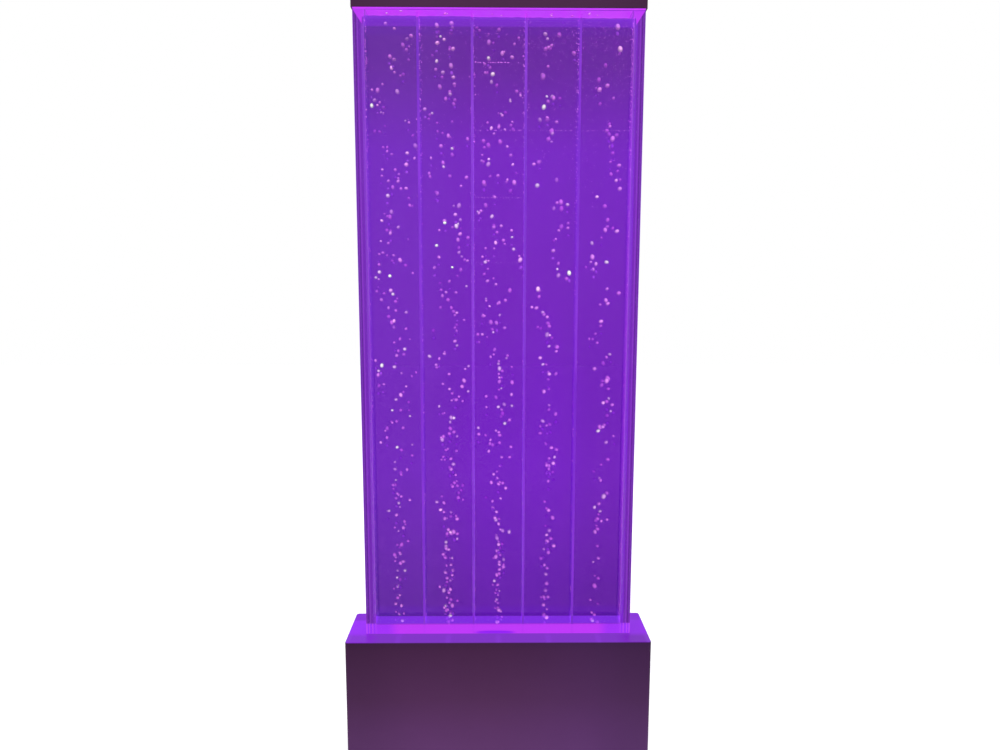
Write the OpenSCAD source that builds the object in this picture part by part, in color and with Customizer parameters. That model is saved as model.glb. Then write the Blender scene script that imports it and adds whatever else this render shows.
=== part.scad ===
// Free-standing bubble wall: a clear tank in five chambers, stood in a moulded base, under a
// lift-off cap. Air rises through the water from five nozzles, and strips of light below the
// tank and in the cap colour it.
// X is the width, -Y is the front, +Z is up. The origin is on the floor, below the base's centre.

/* [Base housing] */
// Width of the base
base_w = 766; // [740:1:900]
// Depth of the base
base_d = 160; // [152:1:200]
// Height of the deck above the floor
deck_z = 305; // [300:1:360]
// Wall of the base housing
base_wall = 3; // [2.5:0.1:3.6]
// Radius of the base's upright corners
base_corner_r = 7; // [5:0.5:9]
// Radius of the base's top edge
base_edge_r = 2.5; // [1:0.25:3]
// Depth of the ribs inside the base walls
rib_depth = 7; // [4:0.5:9]
// Height of the rubber feet below the base
foot_h = 6; // [4:0.5:10]
// Radius of a foot where it stands on the floor
foot_r = 13; // [10:0.5:15]

/* [Tank] */
// Width of the deck at either side of the tank
side_deck_w = 46; // [38:0.5:60]
// Depth over the front and back sheets
tank_d = 66; // [58:1:72]
// Height of the tank above the deck
tank_rise = 1511; // [1200:1:1700]
// Thickness of the front and back sheets
sheet_t = 5; // [4:0.25:6]
// Thickness of the outer end walls
end_wall_t = 6; // [5:0.5:10]
// Width of the clear bar between an end wall and the first chamber
edge_bar_w = 18.5; // [17.5:0.5:24]
// Thickness of the dividers between the chambers
divider_t = 5; // [4:0.25:6]
// Thickness of the tank's clear floor
floor_t = 12; // [11:0.5:13]
// Depth of the floor's upper face below the deck
floor_drop = 2; // [1:0.5:4]
// Radius of the air hole in the middle of each chamber
air_hole_r = 1.5; // [1:0.1:2]

/* [Cap] */
// How far the cap reaches past either end of the tank
cap_end_lap = 2; // [0.5:0.5:10]
// How far the cap reaches past the front and back sheets
cap_sheet_lap = 12; // [8:0.5:20]
// Height of the cap
cap_h = 89; // [80:1:100]
// Wall of the cap
cap_wall = 3; // [2.5:0.1:3.6]
// Thickness of the light panel under the cap
light_panel_t = 3; // [2:0.25:4]
// How far the cap's two tongues drop into the tank
tongue_drop = 12; // [8:1:20]

/* [Tank support] */
// Thickness of the steel cradle
cradle_t = 3; // [2:0.25:3]
// Height of the cradle's rim above its floor
cradle_rim_h = 25; // [18:1:28]
// Height of the clear skirt of the tank below its floor
skirt_h = 29; // [28:0.5:31]
// Thickness of the rubber pads under the tank
pad_t = 3; // [2:0.25:4]
// Width of a cradle leg
leg_w = 36; // [30:1:38]
// Depth of a cradle leg
leg_d = 60; // [54:1:60]
// Thickness of the sheet that the legs are folded from
leg_t = 3; // [2:0.25:4]
// Gap between an inner leg and the check valve beside it
leg_valve_gap = 3; // [2:0.5:5]
// Distance of an outer leg from the end of the tank
leg_end_inset = 33.5; // [29:0.5:40]

/* [Rear access panel] */
// Width of the access panel
panel_w = 340; // [320:1:342]
// Height of the access panel
panel_h = 150; // [140:1:160]
// Height of the panel's middle above the floor
panel_z = 160; // [150:1:165]
// Length of one vent slot
vent_l = 96; // [80:1:104]
// Width of one vent slot
vent_w = 3.5; // [3:0.25:4.5]
// Distance from one vent slot to the next
vent_pitch = 10; // [9:0.25:11]

/* [Service recess] */
// Width of the recess at the lower back
recess_w = 110; // [108:1:112]
// Height of the recess
recess_h = 76; // [74:1:80]
// Gap between the recess and the cradle legs in front of it
recess_leg_gap = 2; // [1:0.5:4]
// Distance of the recess's middle from the base's middle
recess_x = 231; // [230:0.5:233]
// Height of the recess's middle above the floor
recess_z = 74; // [72:0.5:76]

/* [Drain tap] */
// Distance of the drain tap from the recess's middle
drain_offset = 25; // [23:0.5:27]
// Distance of the drain hole from the middle of the last chamber
floor_drain_offset = 46; // [40:0.5:48]
// Height of the drain tap above the floor
drain_z = 62; // [60:0.5:64]
// Outer radius of the drain spout
spout_r = 6; // [5.5:0.1:6.5]
// Length of the plain end of the spout
spout_l = 18; // [15:0.5:19]
// Radius of the shank through the recess wall
shank_r = 8; // [7:0.25:8.5]
// Length of the drain lever
drain_lever_l = 22; // [18:0.5:24]

/* [Air supply] */
// Width of the air pump
pump_w = 112; // [104:1:116]
// Depth of the air pump
pump_d = 88; // [76:1:96]
// Height of the air pump's tub
pump_tub_h = 44; // [38:1:50]
// Height of the air pump's cover
pump_cover_h = 26; // [20:1:32]
// Length of the air manifold
manifold_l = 130; // [124:1:132]
// Side of the air manifold's square section
manifold_s = 16; // [15:0.5:17]
// Distance from one manifold outlet to the next
outlet_pitch = 25; // [24:0.25:25.5]
// Height of the manifold's middle above the floor
manifold_z = 128; // [124:1:134]
// Radius of a valve stem
stem_r = 2; // [1.75:0.05:2.25]
// Length of an air valve's handle
handle_l = 18; // [15:0.5:20]
// Outer radius of an air tube
tube_r = 3; // [2.5:0.1:3.2]
// Radius of a check valve's body
check_valve_r = 8; // [7:0.25:8.5]

/* [Light] */
// Distance of the light channels' ends from the tank's end walls
channel_end_gap = 21; // [5:0.5:40]
// Distance of the cap's light strip from either end of the cap
cap_strip_inset = 39; // [36:0.5:60]
// Distance from one light to the next along a strip
led_pitch = 31; // [25:0.5:40]
// Side of one light
led_s = 5; // [4:0.25:6]
// Width of a strip's circuit board
board_w = 10; // [8:0.5:10]
// Width of an aluminium channel that holds a strip
channel_w = 16; // [15:0.5:16]
// Height of the channels below the tank
channel_h = 22; // [18:0.5:23]
// Width of the channel in the cap
cap_channel_w = 26; // [20:0.5:30]
// Radius of the lead that feeds the cap's light
lead_r = 1.2; // [1:0.05:1.4]

/* [Power] */
// Distance of the switch and inlet from the recess's middle
power_offset = 27; // [25:0.5:29]
// Height of the switch above the floor
switch_z = 60; // [58:0.5:62]
// Height of the power inlet above the floor
inlet_z = 92; // [90:0.5:94]
// Width of the rocker
rocker_w = 11; // [10:0.25:11.5]
// Height of the rocker
rocker_h = 17; // [16:0.25:17.5]
// Angle that the rocker leans to either side
rocker_lean = 10; // [7:0.5:12]
// Radius of the power inlet's bush
inlet_r = 6; // [5:0.25:6.5]

/* [Clearances] */
// Gap round the tank where it passes the deck
deck_gap = 0.6; // [0.4:0.1:1]
// Gap round the tank in its cradle
cradle_gap = 0.5; // [0.3:0.1:1]
// Gap round a plate that drops into a housing
plate_gap = 0.3; // [0.2:0.05:0.5]
// Gap between the tank's top edge and the cap that rests on it
cap_seat_gap = 0.3; // [0.2:0.05:0.4]
// Radial gap of a turning stem or pin
running_gap = 0.06; // [0.04:0.01:0.08]
// Radial gap of a fixed screw, bush or fitting
fixed_gap = 0.1; // [0.05:0.01:0.2]

/* [Hidden] */
$fn = 48;
chambers = 5;

// Colours
base_colour = [0.27, 0.17, 0.29];
clear_violet = [0.50, 0.20, 0.85, 0.45];
lit_magenta = [0.80, 0.30, 1.00];
steel_grey = [0.62, 0.64, 0.67];
alloy_grey = [0.78, 0.79, 0.81];
rubber_black = [0.07, 0.07, 0.08];
plastic_black = [0.11, 0.11, 0.12];
plastic_white = [0.88, 0.88, 0.86];
brass_yellow = [0.78, 0.62, 0.30];
silicone_milk = [0.85, 0.87, 0.88];
board_white = [0.92, 0.92, 0.90];
lever_red = [0.65, 0.10, 0.10];

// Levels, from the floor up
plate_t = base_wall;
plate_top_z = foot_h + plate_t;
deck_under_z = deck_z - base_wall;
tank_floor_z = deck_z - floor_drop;
floor_under_z = tank_floor_z - floor_t;
tank_bottom_z = floor_under_z - skirt_h;
cradle_top_z = tank_bottom_z - pad_t;
cradle_under_z = cradle_top_z - cradle_t;
tank_top_z = deck_z + tank_rise;
cap_z = tank_top_z + cap_seat_gap;

// Tank and cap across and along
tank_w = base_w - 2 * side_deck_w;
inner_d = tank_d - 2 * sheet_t;
chambers_w = tank_w - 2 * end_wall_t - 2 * edge_bar_w;
chamber_w = (chambers_w - (chambers - 1) * divider_t) / chambers;
chamber_pitch = chamber_w + divider_t;
function chamber_x(i) = (i - (chambers + 1) / 2) * chamber_pitch;
edge_bar_x = chambers_w / 2;
divider_head_gap = 6;
cap_w = tank_w + 2 * cap_end_lap;
cap_d = tank_d + 2 * cap_sheet_lap;

// Check valves and the legs that stand between them
check_valve_l = 20;
check_valve_seam = 1;
check_valve_z = cradle_under_z - 16 - check_valve_l / 2;
inner_leg_x = chamber_x(4) - check_valve_r - check_valve_seam - leg_valve_gap - leg_w / 2;
outer_leg_x = tank_w / 2 - leg_end_inset - leg_w / 2;

// Fasteners
screw_r = 1.9;
screw_l = 14;
screw_head_r = 3.8;
boss_r = 6;
boss_h = 30;
boss_inset = 8.5;
bolt_r = 2.5;
bolt_head_r = 4.6;
bolt_head_h = 3.5;
low_head_h = 2.5;

// Rows of places
screw_xs = [-(base_w / 2 - boss_inset), 0, base_w / 2 - boss_inset];
screw_ys = [-(base_d / 2 - boss_inset), base_d / 2 - boss_inset];
foot_inset_x = 52;
foot_inset_y = 24;
foot_stem_r = 4;
foot_xs = [-(base_w / 2 - foot_inset_x), 0, base_w / 2 - foot_inset_x];
foot_ys = [-(base_d / 2 - foot_inset_y), base_d / 2 - foot_inset_y];
leg_xs = [-outer_leg_x, -inner_leg_x, inner_leg_x, outer_leg_x];
panel_screw_inset = 9;
panel_screw_xs = [-(panel_w / 2 - panel_screw_inset), panel_w / 2 - panel_screw_inset];
panel_screw_zs = [panel_z - panel_h / 2 + panel_screw_inset, panel_z + panel_h / 2 - panel_screw_inset];

// Ribs inside the base, clear of the corner bosses
rib_t = 2.5;
rib_pitch = 60;
end_rib_pitch = 40;
rib_count = floor((base_w / 2 - boss_inset - boss_r - rib_t) / rib_pitch);
end_rib_count = floor((base_d / 2 - boss_inset - boss_r - rib_t) / end_rib_pitch);

// Rear wall
back_y = base_d / 2;
ledge_t = 3;
ledge_w = 18;
ledge_lap = 6;
recess_back_y = leg_d / 2 + recess_leg_gap;
recess_floor_y = recess_back_y + base_wall;
recess_depth = back_y - recess_floor_y;

// Lights
strip_l = tank_w - 2 * end_wall_t - 2 * channel_end_gap;
board_end_gap = 5;
light_y = inner_d / 2 - channel_w / 2 - 2;
channel_lip = 1.5;
channel_tray = 4;
board_t = 1.2;
led_h = 1.6;
groove_s = 2 * lead_r + 1.4;
groove_y = 20;
lead_x = -(edge_bar_x + edge_bar_w - groove_s / 2);
controller_w = 78;
controller_d = 46;
controller_h = 26;
controller_x = (inner_leg_x + outer_leg_x) / 2 - 32.5;
controller_y = -34;
controller_top_z = plate_top_z + controller_h;
wire_r = 1.4;

// Air
manifold_y = leg_d / 2 + manifold_s / 2;
manifold_back_y = manifold_y + manifold_s / 2;
barb_l = 12;
barb_r = tube_r - 0.5;
nozzle_thread_r = 5;
nozzle_thread_l = floor_t - 3;
nozzle_hex_h = 6;
nozzle_end_z = floor_under_z - nozzle_hex_h - barb_l;
stem_l = 9;
tray_hole_r = 9;
tube_run_y = manifold_y + 6;
function outlet_x(i) = (i - (chambers + 1) / 2) * outlet_pitch;
outlet_end_z = manifold_z + manifold_s / 2 + barb_l;

// Air pump, set off from the middle between its legs to leave room for its outlet
pump_shift = 8;
pump_x = -(inner_leg_x + outer_leg_x) / 2 - pump_shift;
pump_wall = 3;
pump_corner_r = 12;
pump_feet_h = 8;
pump_z = plate_top_z + pump_feet_h;
pump_outlet_r = 6;
pump_outlet_l = 3;
pump_outlet_y = pump_d / 2 - 2 * pump_outlet_r;
pump_outlet_z = pump_z + 30;

// Drain
drain_x = recess_x - drain_offset;
drain_hole_x = chamber_x(chambers) - floor_drain_offset;
drain_barb_r = 4.5;
drain_pipe_r = 5.5;
drain_bore_r = 6;
drain_wall_l = 10;
drain_barrel_r = 10;
drain_barrel_l = 18;
drain_hex_r = 12;
drain_hex_l = 8;
drain_barrel_y = recess_floor_y + 7;
drain_stem_y = drain_barrel_y + drain_barrel_l / 2;
drain_stem_r = 3;
drain_bonnet_r = 6;
drain_bonnet_z = drain_z + drain_barrel_r + 3;
drain_end_y = recess_back_y - drain_hex_l - barb_l;

// Switch and inlet
power_x = recess_x + power_offset;
inlet_l = 12;
switch_wall = 2;
switch_frame_w = rocker_w + 2 * switch_wall;
switch_frame_h = rocker_h + 2 * switch_wall;
bezel_lap = 1;
bezel_t = 2;
switch_body_l = 14;
rocker_pin_r = 1.4;
rocker_pin_l = 1.6;
rocker_gap = 0.6;
rocker_pivot_y = recess_floor_y - 2.5;

// Cap, its light and the plug of its lead
cap_ceiling_z = cap_z + cap_h - cap_wall;
panel_top_z = cap_z + light_panel_t;
cap_rib_t = 2.5;
cap_rib_pitch = 130;
cap_rib_xs = [for (i = [-2:2]) i * cap_rib_pitch];
cap_channel_z = cap_z + 40;
cap_channel_t = 2;
cap_channel_flange = 10;
cap_strip_l = cap_w - 2 * cap_strip_inset;
cap_boss_x = cap_strip_l / 2 + 8;
cap_boss_r = 5;
cap_screw_l = 10;
socket_w = 13;
socket_d = 9;
socket_h = 14;
socket_x = -(edge_bar_x + edge_bar_w - socket_w / 2 - 0.5);
plug_h = 8;
plug_pin_l = 8;
plug_pin_r = 0.8;
pin_pitch = 5;

// Shapes in common
arc_steps = 6;
edge_steps = 3;
function corner_arc(x, y, r, start) =
    [for (i = [0:arc_steps]) [x + r * cos(start + 90 * i / arc_steps),
        y + r * sin(start + 90 * i / arc_steps)]];
function rounded_outline(w, d, r) = concat(
    corner_arc(w / 2 - r, d / 2 - r, r, 0),
    corner_arc(-w / 2 + r, d / 2 - r, r, 90),
    corner_arc(-w / 2 + r, -d / 2 + r, r, 180),
    corner_arc(w / 2 - r, -d / 2 + r, r, 270));

module rounded_prism(w, d, h, r) {
    linear_extrude(h) polygon(rounded_outline(w, d, r));
}

// A block with round upright corners and a rolled top edge
module soft_top_block(w, d, h, corner_r, edge_r) {
    hull() {
        rounded_prism(w, d, h - edge_r, corner_r);
        for (i = [1:edge_steps]) {
            inset = edge_r * (1 - cos(90 * i / edge_steps));
            translate([0, 0, h - edge_r])
                rounded_prism(w - 2 * inset, d - 2 * inset, edge_r * sin(90 * i / edge_steps),
                    corner_r - inset);
        }
    }
}

// A box centred in X and Y, from z0 up
module block(x, y, z0, w, d, h) {
    translate([x - w / 2, y - d / 2, z0]) cube([w, d, h]);
}

// A box centred in X and Z, from y0 back
module wall_block(x, y0, z, w, l, h) {
    translate([x - w / 2, y0, z - h / 2]) cube([w, l, h]);
}

// A cylinder along +Y from y0
module rod_y(x, y0, z, r, l) {
    translate([x, y0, z]) rotate([-90, 0, 0]) cylinder(h = l, r = r);
}

module hex_y(x, y0, z, r, l) {
    translate([x, y0, z]) rotate([-90, 0, 0]) cylinder(h = l, r = r, $fn = 6);
}

// A countersunk screw whose flat head lies at z = 0, with its shank along -Z
module screw(l) {
    difference() {
        union() {
            translate([0, 0, -(screw_head_r - screw_r)])
                cylinder(h = screw_head_r - screw_r, r1 = screw_r, r2 = screw_head_r);
            translate([0, 0, -l]) cylinder(h = l - (screw_head_r - screw_r), r = screw_r);
        }
        for (turn = [0, 90]) rotate([0, 0, turn]) block(0, 0, -1, 4, 0.9, 2);
    }
}

// The hole for that screw through a plate
module screw_hole(l) {
    translate([0, 0, -l]) cylinder(h = l + 0.01, r = screw_r + fixed_gap);
    translate([0, 0, -(screw_head_r - screw_r)])
        cylinder(h = screw_head_r - screw_r + 0.01, r1 = screw_r + fixed_gap,
            r2 = screw_head_r + fixed_gap);
}

// A hose barb that starts at z = 0 and points along +Z, with three ridges
module barb(r, l, bore_r) {
    ridges = 3;
    step = l / ridges;
    rotate_extrude($fn = 32) polygon(concat(
        [[bore_r, 0]],
        [for (i = [0:ridges - 1]) each [[r * 0.82, i * step], [r, i * step + step * 0.25],
            [r * 0.82, (i + 1) * step]]],
        [[bore_r, l]]));
}

// Tubes and wires follow a route with its corners cut twice
function cut_corners(p) = concat(
    [p[0]],
    [for (i = [0:len(p) - 2]) each [0.75 * p[i] + 0.25 * p[i + 1], 0.25 * p[i] + 0.75 * p[i + 1]]],
    [p[len(p) - 1]]);
function unit(v) = v / norm(v);
function route_heading(p, i) = unit(p[min(i + 1, len(p) - 1)] - p[max(i - 1, 0)]);
route_side = unit([1, 1.3, 0.7]);
tube_sides = 8;

module tube(route, r) {
    p = cut_corners(cut_corners(route));
    rings = len(p);
    points = [for (i = [0:rings - 1])
        let (t = route_heading(p, i), u = unit(cross(t, route_side)), v = cross(t, u))
        for (k = [0:tube_sides - 1]) p[i] + r * (cos(360 * k / tube_sides) * u + sin(360 * k / tube_sides) * v)];
    sides = [for (i = [0:rings - 2]) for (k = [0:tube_sides - 1])
        let (a = i * tube_sides + k, b = i * tube_sides + (k + 1) % tube_sides)
        each [[a, a + tube_sides, b], [b, a + tube_sides, b + tube_sides]]];
    last = (rings - 1) * tube_sides;
    ends = [for (k = [1:tube_sides - 2]) each [[0, k, k + 1], [last, last + k + 1, last + k]]];
    polyhedron(points = points, faces = concat(sides, ends));
}

// Base housing
module shell_ribs() {
    rib_top_z = deck_under_z + 1;
    rib_foot_z = plate_top_z + 3;
    root = 1;
    for (i = [-rib_count:rib_count])
        block(i * rib_pitch, -(base_d / 2 - base_wall - rib_depth / 2 + root / 2), rib_foot_z,
            rib_t, rib_depth + root, rib_top_z - rib_foot_z);
    for (side = [-1, 1]) for (i = [-end_rib_count:end_rib_count])
        block(side * (base_w / 2 - base_wall - rib_depth / 2 + root / 2), i * end_rib_pitch, rib_foot_z,
            rib_depth + root, rib_t, rib_top_z - rib_foot_z);
}

module shell_bosses() {
    for (x = screw_xs) for (y = screw_ys)
        translate([x, y, plate_top_z]) cylinder(h = boss_h, r = boss_r);
}

// The frame behind the rear opening that the access panel seats on
module access_ledge() {
    wall_block(0, back_y - base_wall - ledge_t, panel_z, panel_w + 2 * ledge_lap, ledge_t + 1,
        panel_h + 2 * ledge_lap);
}

module access_opening() {
    wall_block(0, back_y - base_wall, panel_z, panel_w + 2 * plate_gap, base_wall + 1,
        panel_h + 2 * plate_gap);
    wall_block(0, back_y - base_wall - ledge_t - 1, panel_z, panel_w - 2 * ledge_w, ledge_t + 2,
        panel_h - 2 * ledge_w);
}

module base_shell() {
    color(base_colour)
    difference() {
        union() {
            difference() {
                translate([0, 0, foot_h])
                    soft_top_block(base_w, base_d, deck_z - foot_h, base_corner_r, base_edge_r);
                translate([0, 0, foot_h - 1])
                    rounded_prism(base_w - 2 * base_wall, base_d - 2 * base_wall,
                        deck_under_z - foot_h + 1, base_corner_r - base_wall);
            }
            shell_bosses();
            shell_ribs();
            access_ledge();
            wall_block(recess_x, recess_back_y, recess_z, recess_w + 2 * base_wall,
                recess_depth + base_wall - 0.5, recess_h + 2 * base_wall);
        }
        block(0, 0, deck_under_z - 1, tank_w + 2 * deck_gap, tank_d + 2 * deck_gap, base_wall + 2);
        access_opening();
        for (x = panel_screw_xs) for (z = panel_screw_zs)
            rod_y(x, back_y - base_wall - ledge_t - 1, z, screw_r + fixed_gap / 2, ledge_t + 2);
        wall_block(recess_x, recess_floor_y, recess_z, recess_w, recess_depth + 1, recess_h);
        for (x = screw_xs) for (y = screw_ys)
            translate([x, y, plate_top_z - 1]) cylinder(h = screw_l, r = screw_r + fixed_gap / 2);
        rod_y(drain_x, recess_back_y - 1, drain_z, shank_r + fixed_gap, base_wall + 2);
        rod_y(power_x, recess_back_y - 1, inlet_z, inlet_r + fixed_gap, base_wall + 2);
        wall_block(power_x, recess_back_y - 1, switch_z, switch_frame_w + 2 * fixed_gap,
            base_wall + 2, switch_frame_h + 2 * fixed_gap);
    }
}

// Steel plate that closes the base, with two vent slots and holes for the feet, screws and bolts
module bottom_plate() {
    vent_x = (inner_leg_x + outer_leg_x) / 2;
    vent_y = -(base_d / 2 - 28);
    slot_w = 60;
    slot_d = 6;
    color(steel_grey)
    difference() {
        translate([0, 0, foot_h])
            rounded_prism(base_w - 2 * base_wall - 2 * plate_gap,
                base_d - 2 * base_wall - 2 * plate_gap,
                plate_t, base_corner_r - base_wall);
        for (x = screw_xs) for (y = screw_ys)
            translate([x, y, foot_h]) mirror([0, 0, 1]) screw_hole(plate_t + 1);
        for (x = foot_xs) for (y = foot_ys)
            translate([x, y, foot_h - 1]) cylinder(h = plate_t + 2, r = foot_stem_r + fixed_gap);
        for (x = leg_xs)
            translate([x, 0, foot_h - 1]) cylinder(h = plate_t + 2, r = bolt_r + fixed_gap);
        for (side = [-1, 1]) block(side * vent_x, vent_y, foot_h - 1, slot_w, slot_d, plate_t + 2);
    }
}

module bottom_plate_screws() {
    color(steel_grey)
    for (x = screw_xs) for (y = screw_ys)
        translate([x, y, foot_h]) mirror([0, 0, 1]) screw(screw_l);
}

// Each foot is a flared rubber button whose stem snaps through the plate
module rubber_feet() {
    flare = 1.5;
    color(rubber_black)
    for (x = foot_xs) for (y = foot_ys) translate([x, y, 0]) rotate_extrude() polygon([
        [0, 0], [foot_r - 1, 0], [foot_r, 1], [foot_r + flare, foot_h], [foot_stem_r, foot_h],
        [foot_stem_r, plate_top_z], [foot_stem_r + 1, plate_top_z], [foot_stem_r - 1, plate_top_z + 4],
        [0, plate_top_z + 4]]);
}

// Rear access panel
module vent_slots(x) {
    slots = floor((panel_h - 50) / vent_pitch);
    for (i = [0:slots - 1]) {
        z = panel_z + (i - (slots - 1) / 2) * vent_pitch;
        wall_block(x, back_y - base_wall - 1, z, vent_l - vent_w, base_wall + 2, vent_w);
        for (end = [-1, 1])
            rod_y(x + end * (vent_l - vent_w) / 2, back_y - base_wall - 1, z, vent_w / 2,
                base_wall + 2);
    }
}

module access_panel() {
    color(base_colour)
    difference() {
        translate([0, back_y, panel_z]) rotate([90, 0, 0])
            rounded_prism(panel_w, panel_h, base_wall, 3);
        for (x = panel_screw_xs) for (z = panel_screw_zs)
            translate([x, back_y, z]) rotate([-90, 0, 0]) screw_hole(base_wall + 1);
        for (side = [-1, 1]) vent_slots(side * panel_w / 4);
    }
}

module access_panel_screws() {
    color(plastic_black)
    for (x = panel_screw_xs) for (z = panel_screw_zs)
        translate([x, back_y, z]) rotate([-90, 0, 0]) screw(base_wall + ledge_t + 3);
}

// Soft frame under the deck that keeps light and splashes out of the base
module deck_seal() {
    seal_w = 6;
    seal_h = 5;
    color(rubber_black)
    difference() {
        block(0, 0, deck_under_z - seal_h, tank_w + 2 * seal_w, tank_d + 2 * seal_w, seal_h);
        block(0, 0, deck_under_z - seal_h - 1, tank_w, tank_d, seal_h + 2);
    }
}

// Tank support
module tank_cradle() {
    tray_w = tank_w + 2 * cradle_gap + 2 * cradle_t;
    tray_d = tank_d + 2 * cradle_gap + 2 * cradle_t;
    color(steel_grey)
    difference() {
        block(0, 0, cradle_under_z, tray_w, tray_d, cradle_t + cradle_rim_h);
        block(0, 0, cradle_top_z, tray_w - 2 * cradle_t, tray_d - 2 * cradle_t, cradle_rim_h + 1);
        for (i = [1:chambers])
            translate([chamber_x(i), 0, cradle_under_z - 1])
                cylinder(h = cradle_t + 2, r = tray_hole_r);
        translate([drain_hole_x, 0, cradle_under_z - 1]) cylinder(h = cradle_t + 2, r = tray_hole_r);
        translate([lead_x, groove_y, cradle_under_z - 1]) cylinder(h = cradle_t + 2, r = lead_r + 1);
        for (x = leg_xs)
            translate([x, 0, cradle_under_z - 1]) cylinder(h = cradle_t + 2, r = bolt_r + fixed_gap);
    }
}

// Each leg is a folded channel with a flange at its head and foot, open to the back
module cradle_legs() {
    leg_h = cradle_under_z - plate_top_z;
    cable_hole_r = 9;
    color(steel_grey)
    for (x = leg_xs) difference() {
        block(x, 0, plate_top_z, leg_w, leg_d, leg_h);
        block(x, leg_t, plate_top_z + leg_t, leg_w - 2 * leg_t, leg_d, leg_h - 2 * leg_t);
        translate([x, 0, plate_top_z - 1]) cylinder(h = leg_h + 2, r = bolt_r + fixed_gap);
        rod_y(x, -leg_d / 2 - 1, plate_top_z + leg_h / 2, cable_hole_r, leg_t + 2);
    }
}

// A bolt with its head up at z = 0, and its nut under a grip of the given thickness
module bolt_and_nut(grip, head_h) {
    cylinder(h = head_h, r = bolt_head_r, $fn = 6);
    translate([0, 0, -grip - bolt_head_h - 1]) cylinder(h = grip + bolt_head_h + 1, r = bolt_r);
    translate([0, 0, -grip - bolt_head_h]) difference() {
        cylinder(h = bolt_head_h, r = bolt_head_r, $fn = 6);
        translate([0, 0, -1]) cylinder(h = bolt_head_h + 2, r = bolt_r + fixed_gap / 2);
    }
}

// The lower bolts have a low head that clears the floor
module cradle_bolts() {
    color(alloy_grey)
    for (x = leg_xs) {
        translate([x, 0, cradle_top_z]) bolt_and_nut(cradle_t + leg_t, bolt_head_h);
        translate([x, 0, foot_h]) mirror([0, 0, 1]) bolt_and_nut(plate_t + leg_t, low_head_h);
    }
}

module tank_pads() {
    pad_w = sheet_t + 1;
    color(rubber_black)
    for (side = [-1, 1]) block(0, side * (tank_d / 2 - pad_w / 2), cradle_top_z, tank_w, pad_w, pad_t);
}

// Tank
module sheet(side) {
    color(clear_violet)
    block(0, side * (tank_d / 2 - sheet_t / 2), tank_bottom_z, tank_w, sheet_t,
        tank_top_z - tank_bottom_z);
}

module end_wall(side) {
    color(clear_violet)
    block(side * (tank_w / 2 - end_wall_t / 2), 0, tank_bottom_z, end_wall_t, inner_d,
        tank_top_z - tank_bottom_z);
}

// The bar beside an end wall has a groove for the cap's lead, and a pocket at its head for the socket
module edge_bar(side) {
    color(clear_violet)
    difference() {
        block(side * (edge_bar_x + edge_bar_w / 2), 0, tank_floor_z, edge_bar_w, inner_d,
            tank_top_z - tank_floor_z);
        block(side * abs(lead_x), groove_y, tank_floor_z - 1, groove_s + 0.02, groove_s,
            tank_top_z - tank_floor_z + 2);
        if (side < 0)
            block(socket_x, groove_y, tank_top_z - socket_h, socket_w + 2 * fixed_gap,
                socket_d + 2 * fixed_gap, socket_h + 1);
    }
}

// Each divider has a low slot, through which the chambers fill and drain together
module divider(i) {
    slot_w = 12;
    slot_h = 6;
    x = (chamber_x(i) + chamber_x(i + 1)) / 2;
    color(clear_violet)
    difference() {
        block(x, 0, tank_floor_z, divider_t, inner_d, tank_top_z - tank_floor_z - divider_head_gap);
        block(x, 0, tank_floor_z - 1, divider_t + 2, slot_w, slot_h + 1);
    }
}

module tank_floor() {
    color(clear_violet)
    difference() {
        block(0, 0, floor_under_z, tank_w - 2 * end_wall_t, inner_d, floor_t);
        for (i = [1:chambers]) translate([chamber_x(i), 0, floor_under_z - 1]) {
            cylinder(h = floor_t + 2, r = air_hole_r);
            cylinder(h = nozzle_thread_l + 1, r = nozzle_thread_r + fixed_gap);
        }
        translate([drain_hole_x, 0, floor_under_z - 1]) cylinder(h = floor_t + 2, r = drain_bore_r - 1);
        translate([drain_hole_x, 0, floor_under_z - 1])
            cylinder(h = drain_wall_l + 1, r = drain_bore_r + fixed_gap);
        block(lead_x, groove_y, floor_under_z - 1, groove_s, groove_s, floor_t + 2);
    }
}

// Air supply
module air_nozzles() {
    color(brass_yellow)
    for (i = [1:chambers]) translate([chamber_x(i), 0, floor_under_z]) {
        difference() {
            union() {
                cylinder(h = nozzle_thread_l, r = nozzle_thread_r);
                translate([0, 0, -nozzle_hex_h])
                    cylinder(h = nozzle_hex_h, r = nozzle_thread_r + 2.5, $fn = 6);
            }
            translate([0, 0, -nozzle_hex_h - 1]) cylinder(h = nozzle_hex_h + floor_t, r = air_hole_r);
        }
        translate([0, 0, -nozzle_hex_h]) mirror([0, 0, 1]) barb(barb_r, barb_l, air_hole_r);
    }
}

// One-way valves that keep the water out of the pump, each a drum with a seam and two spigots
module check_valves() {
    half_l = check_valve_l / 2;
    drum = half_l - 5;
    seam_r = check_valve_r + check_valve_seam;
    color(plastic_white)
    for (i = [1:chambers]) translate([chamber_x(i), 0, check_valve_z]) rotate_extrude() polygon([
        [0, -half_l], [barb_r, -half_l], [barb_r, -drum], [check_valve_r - 1, -drum],
            [check_valve_r, -drum + 1],
        [check_valve_r, -0.5], [seam_r, -0.5], [seam_r, 0.5], [check_valve_r, 0.5],
        [check_valve_r, drum - 1], [check_valve_r - 1, drum], [barb_r, drum], [barb_r, half_l],
            [0, half_l]]);
}

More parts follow.
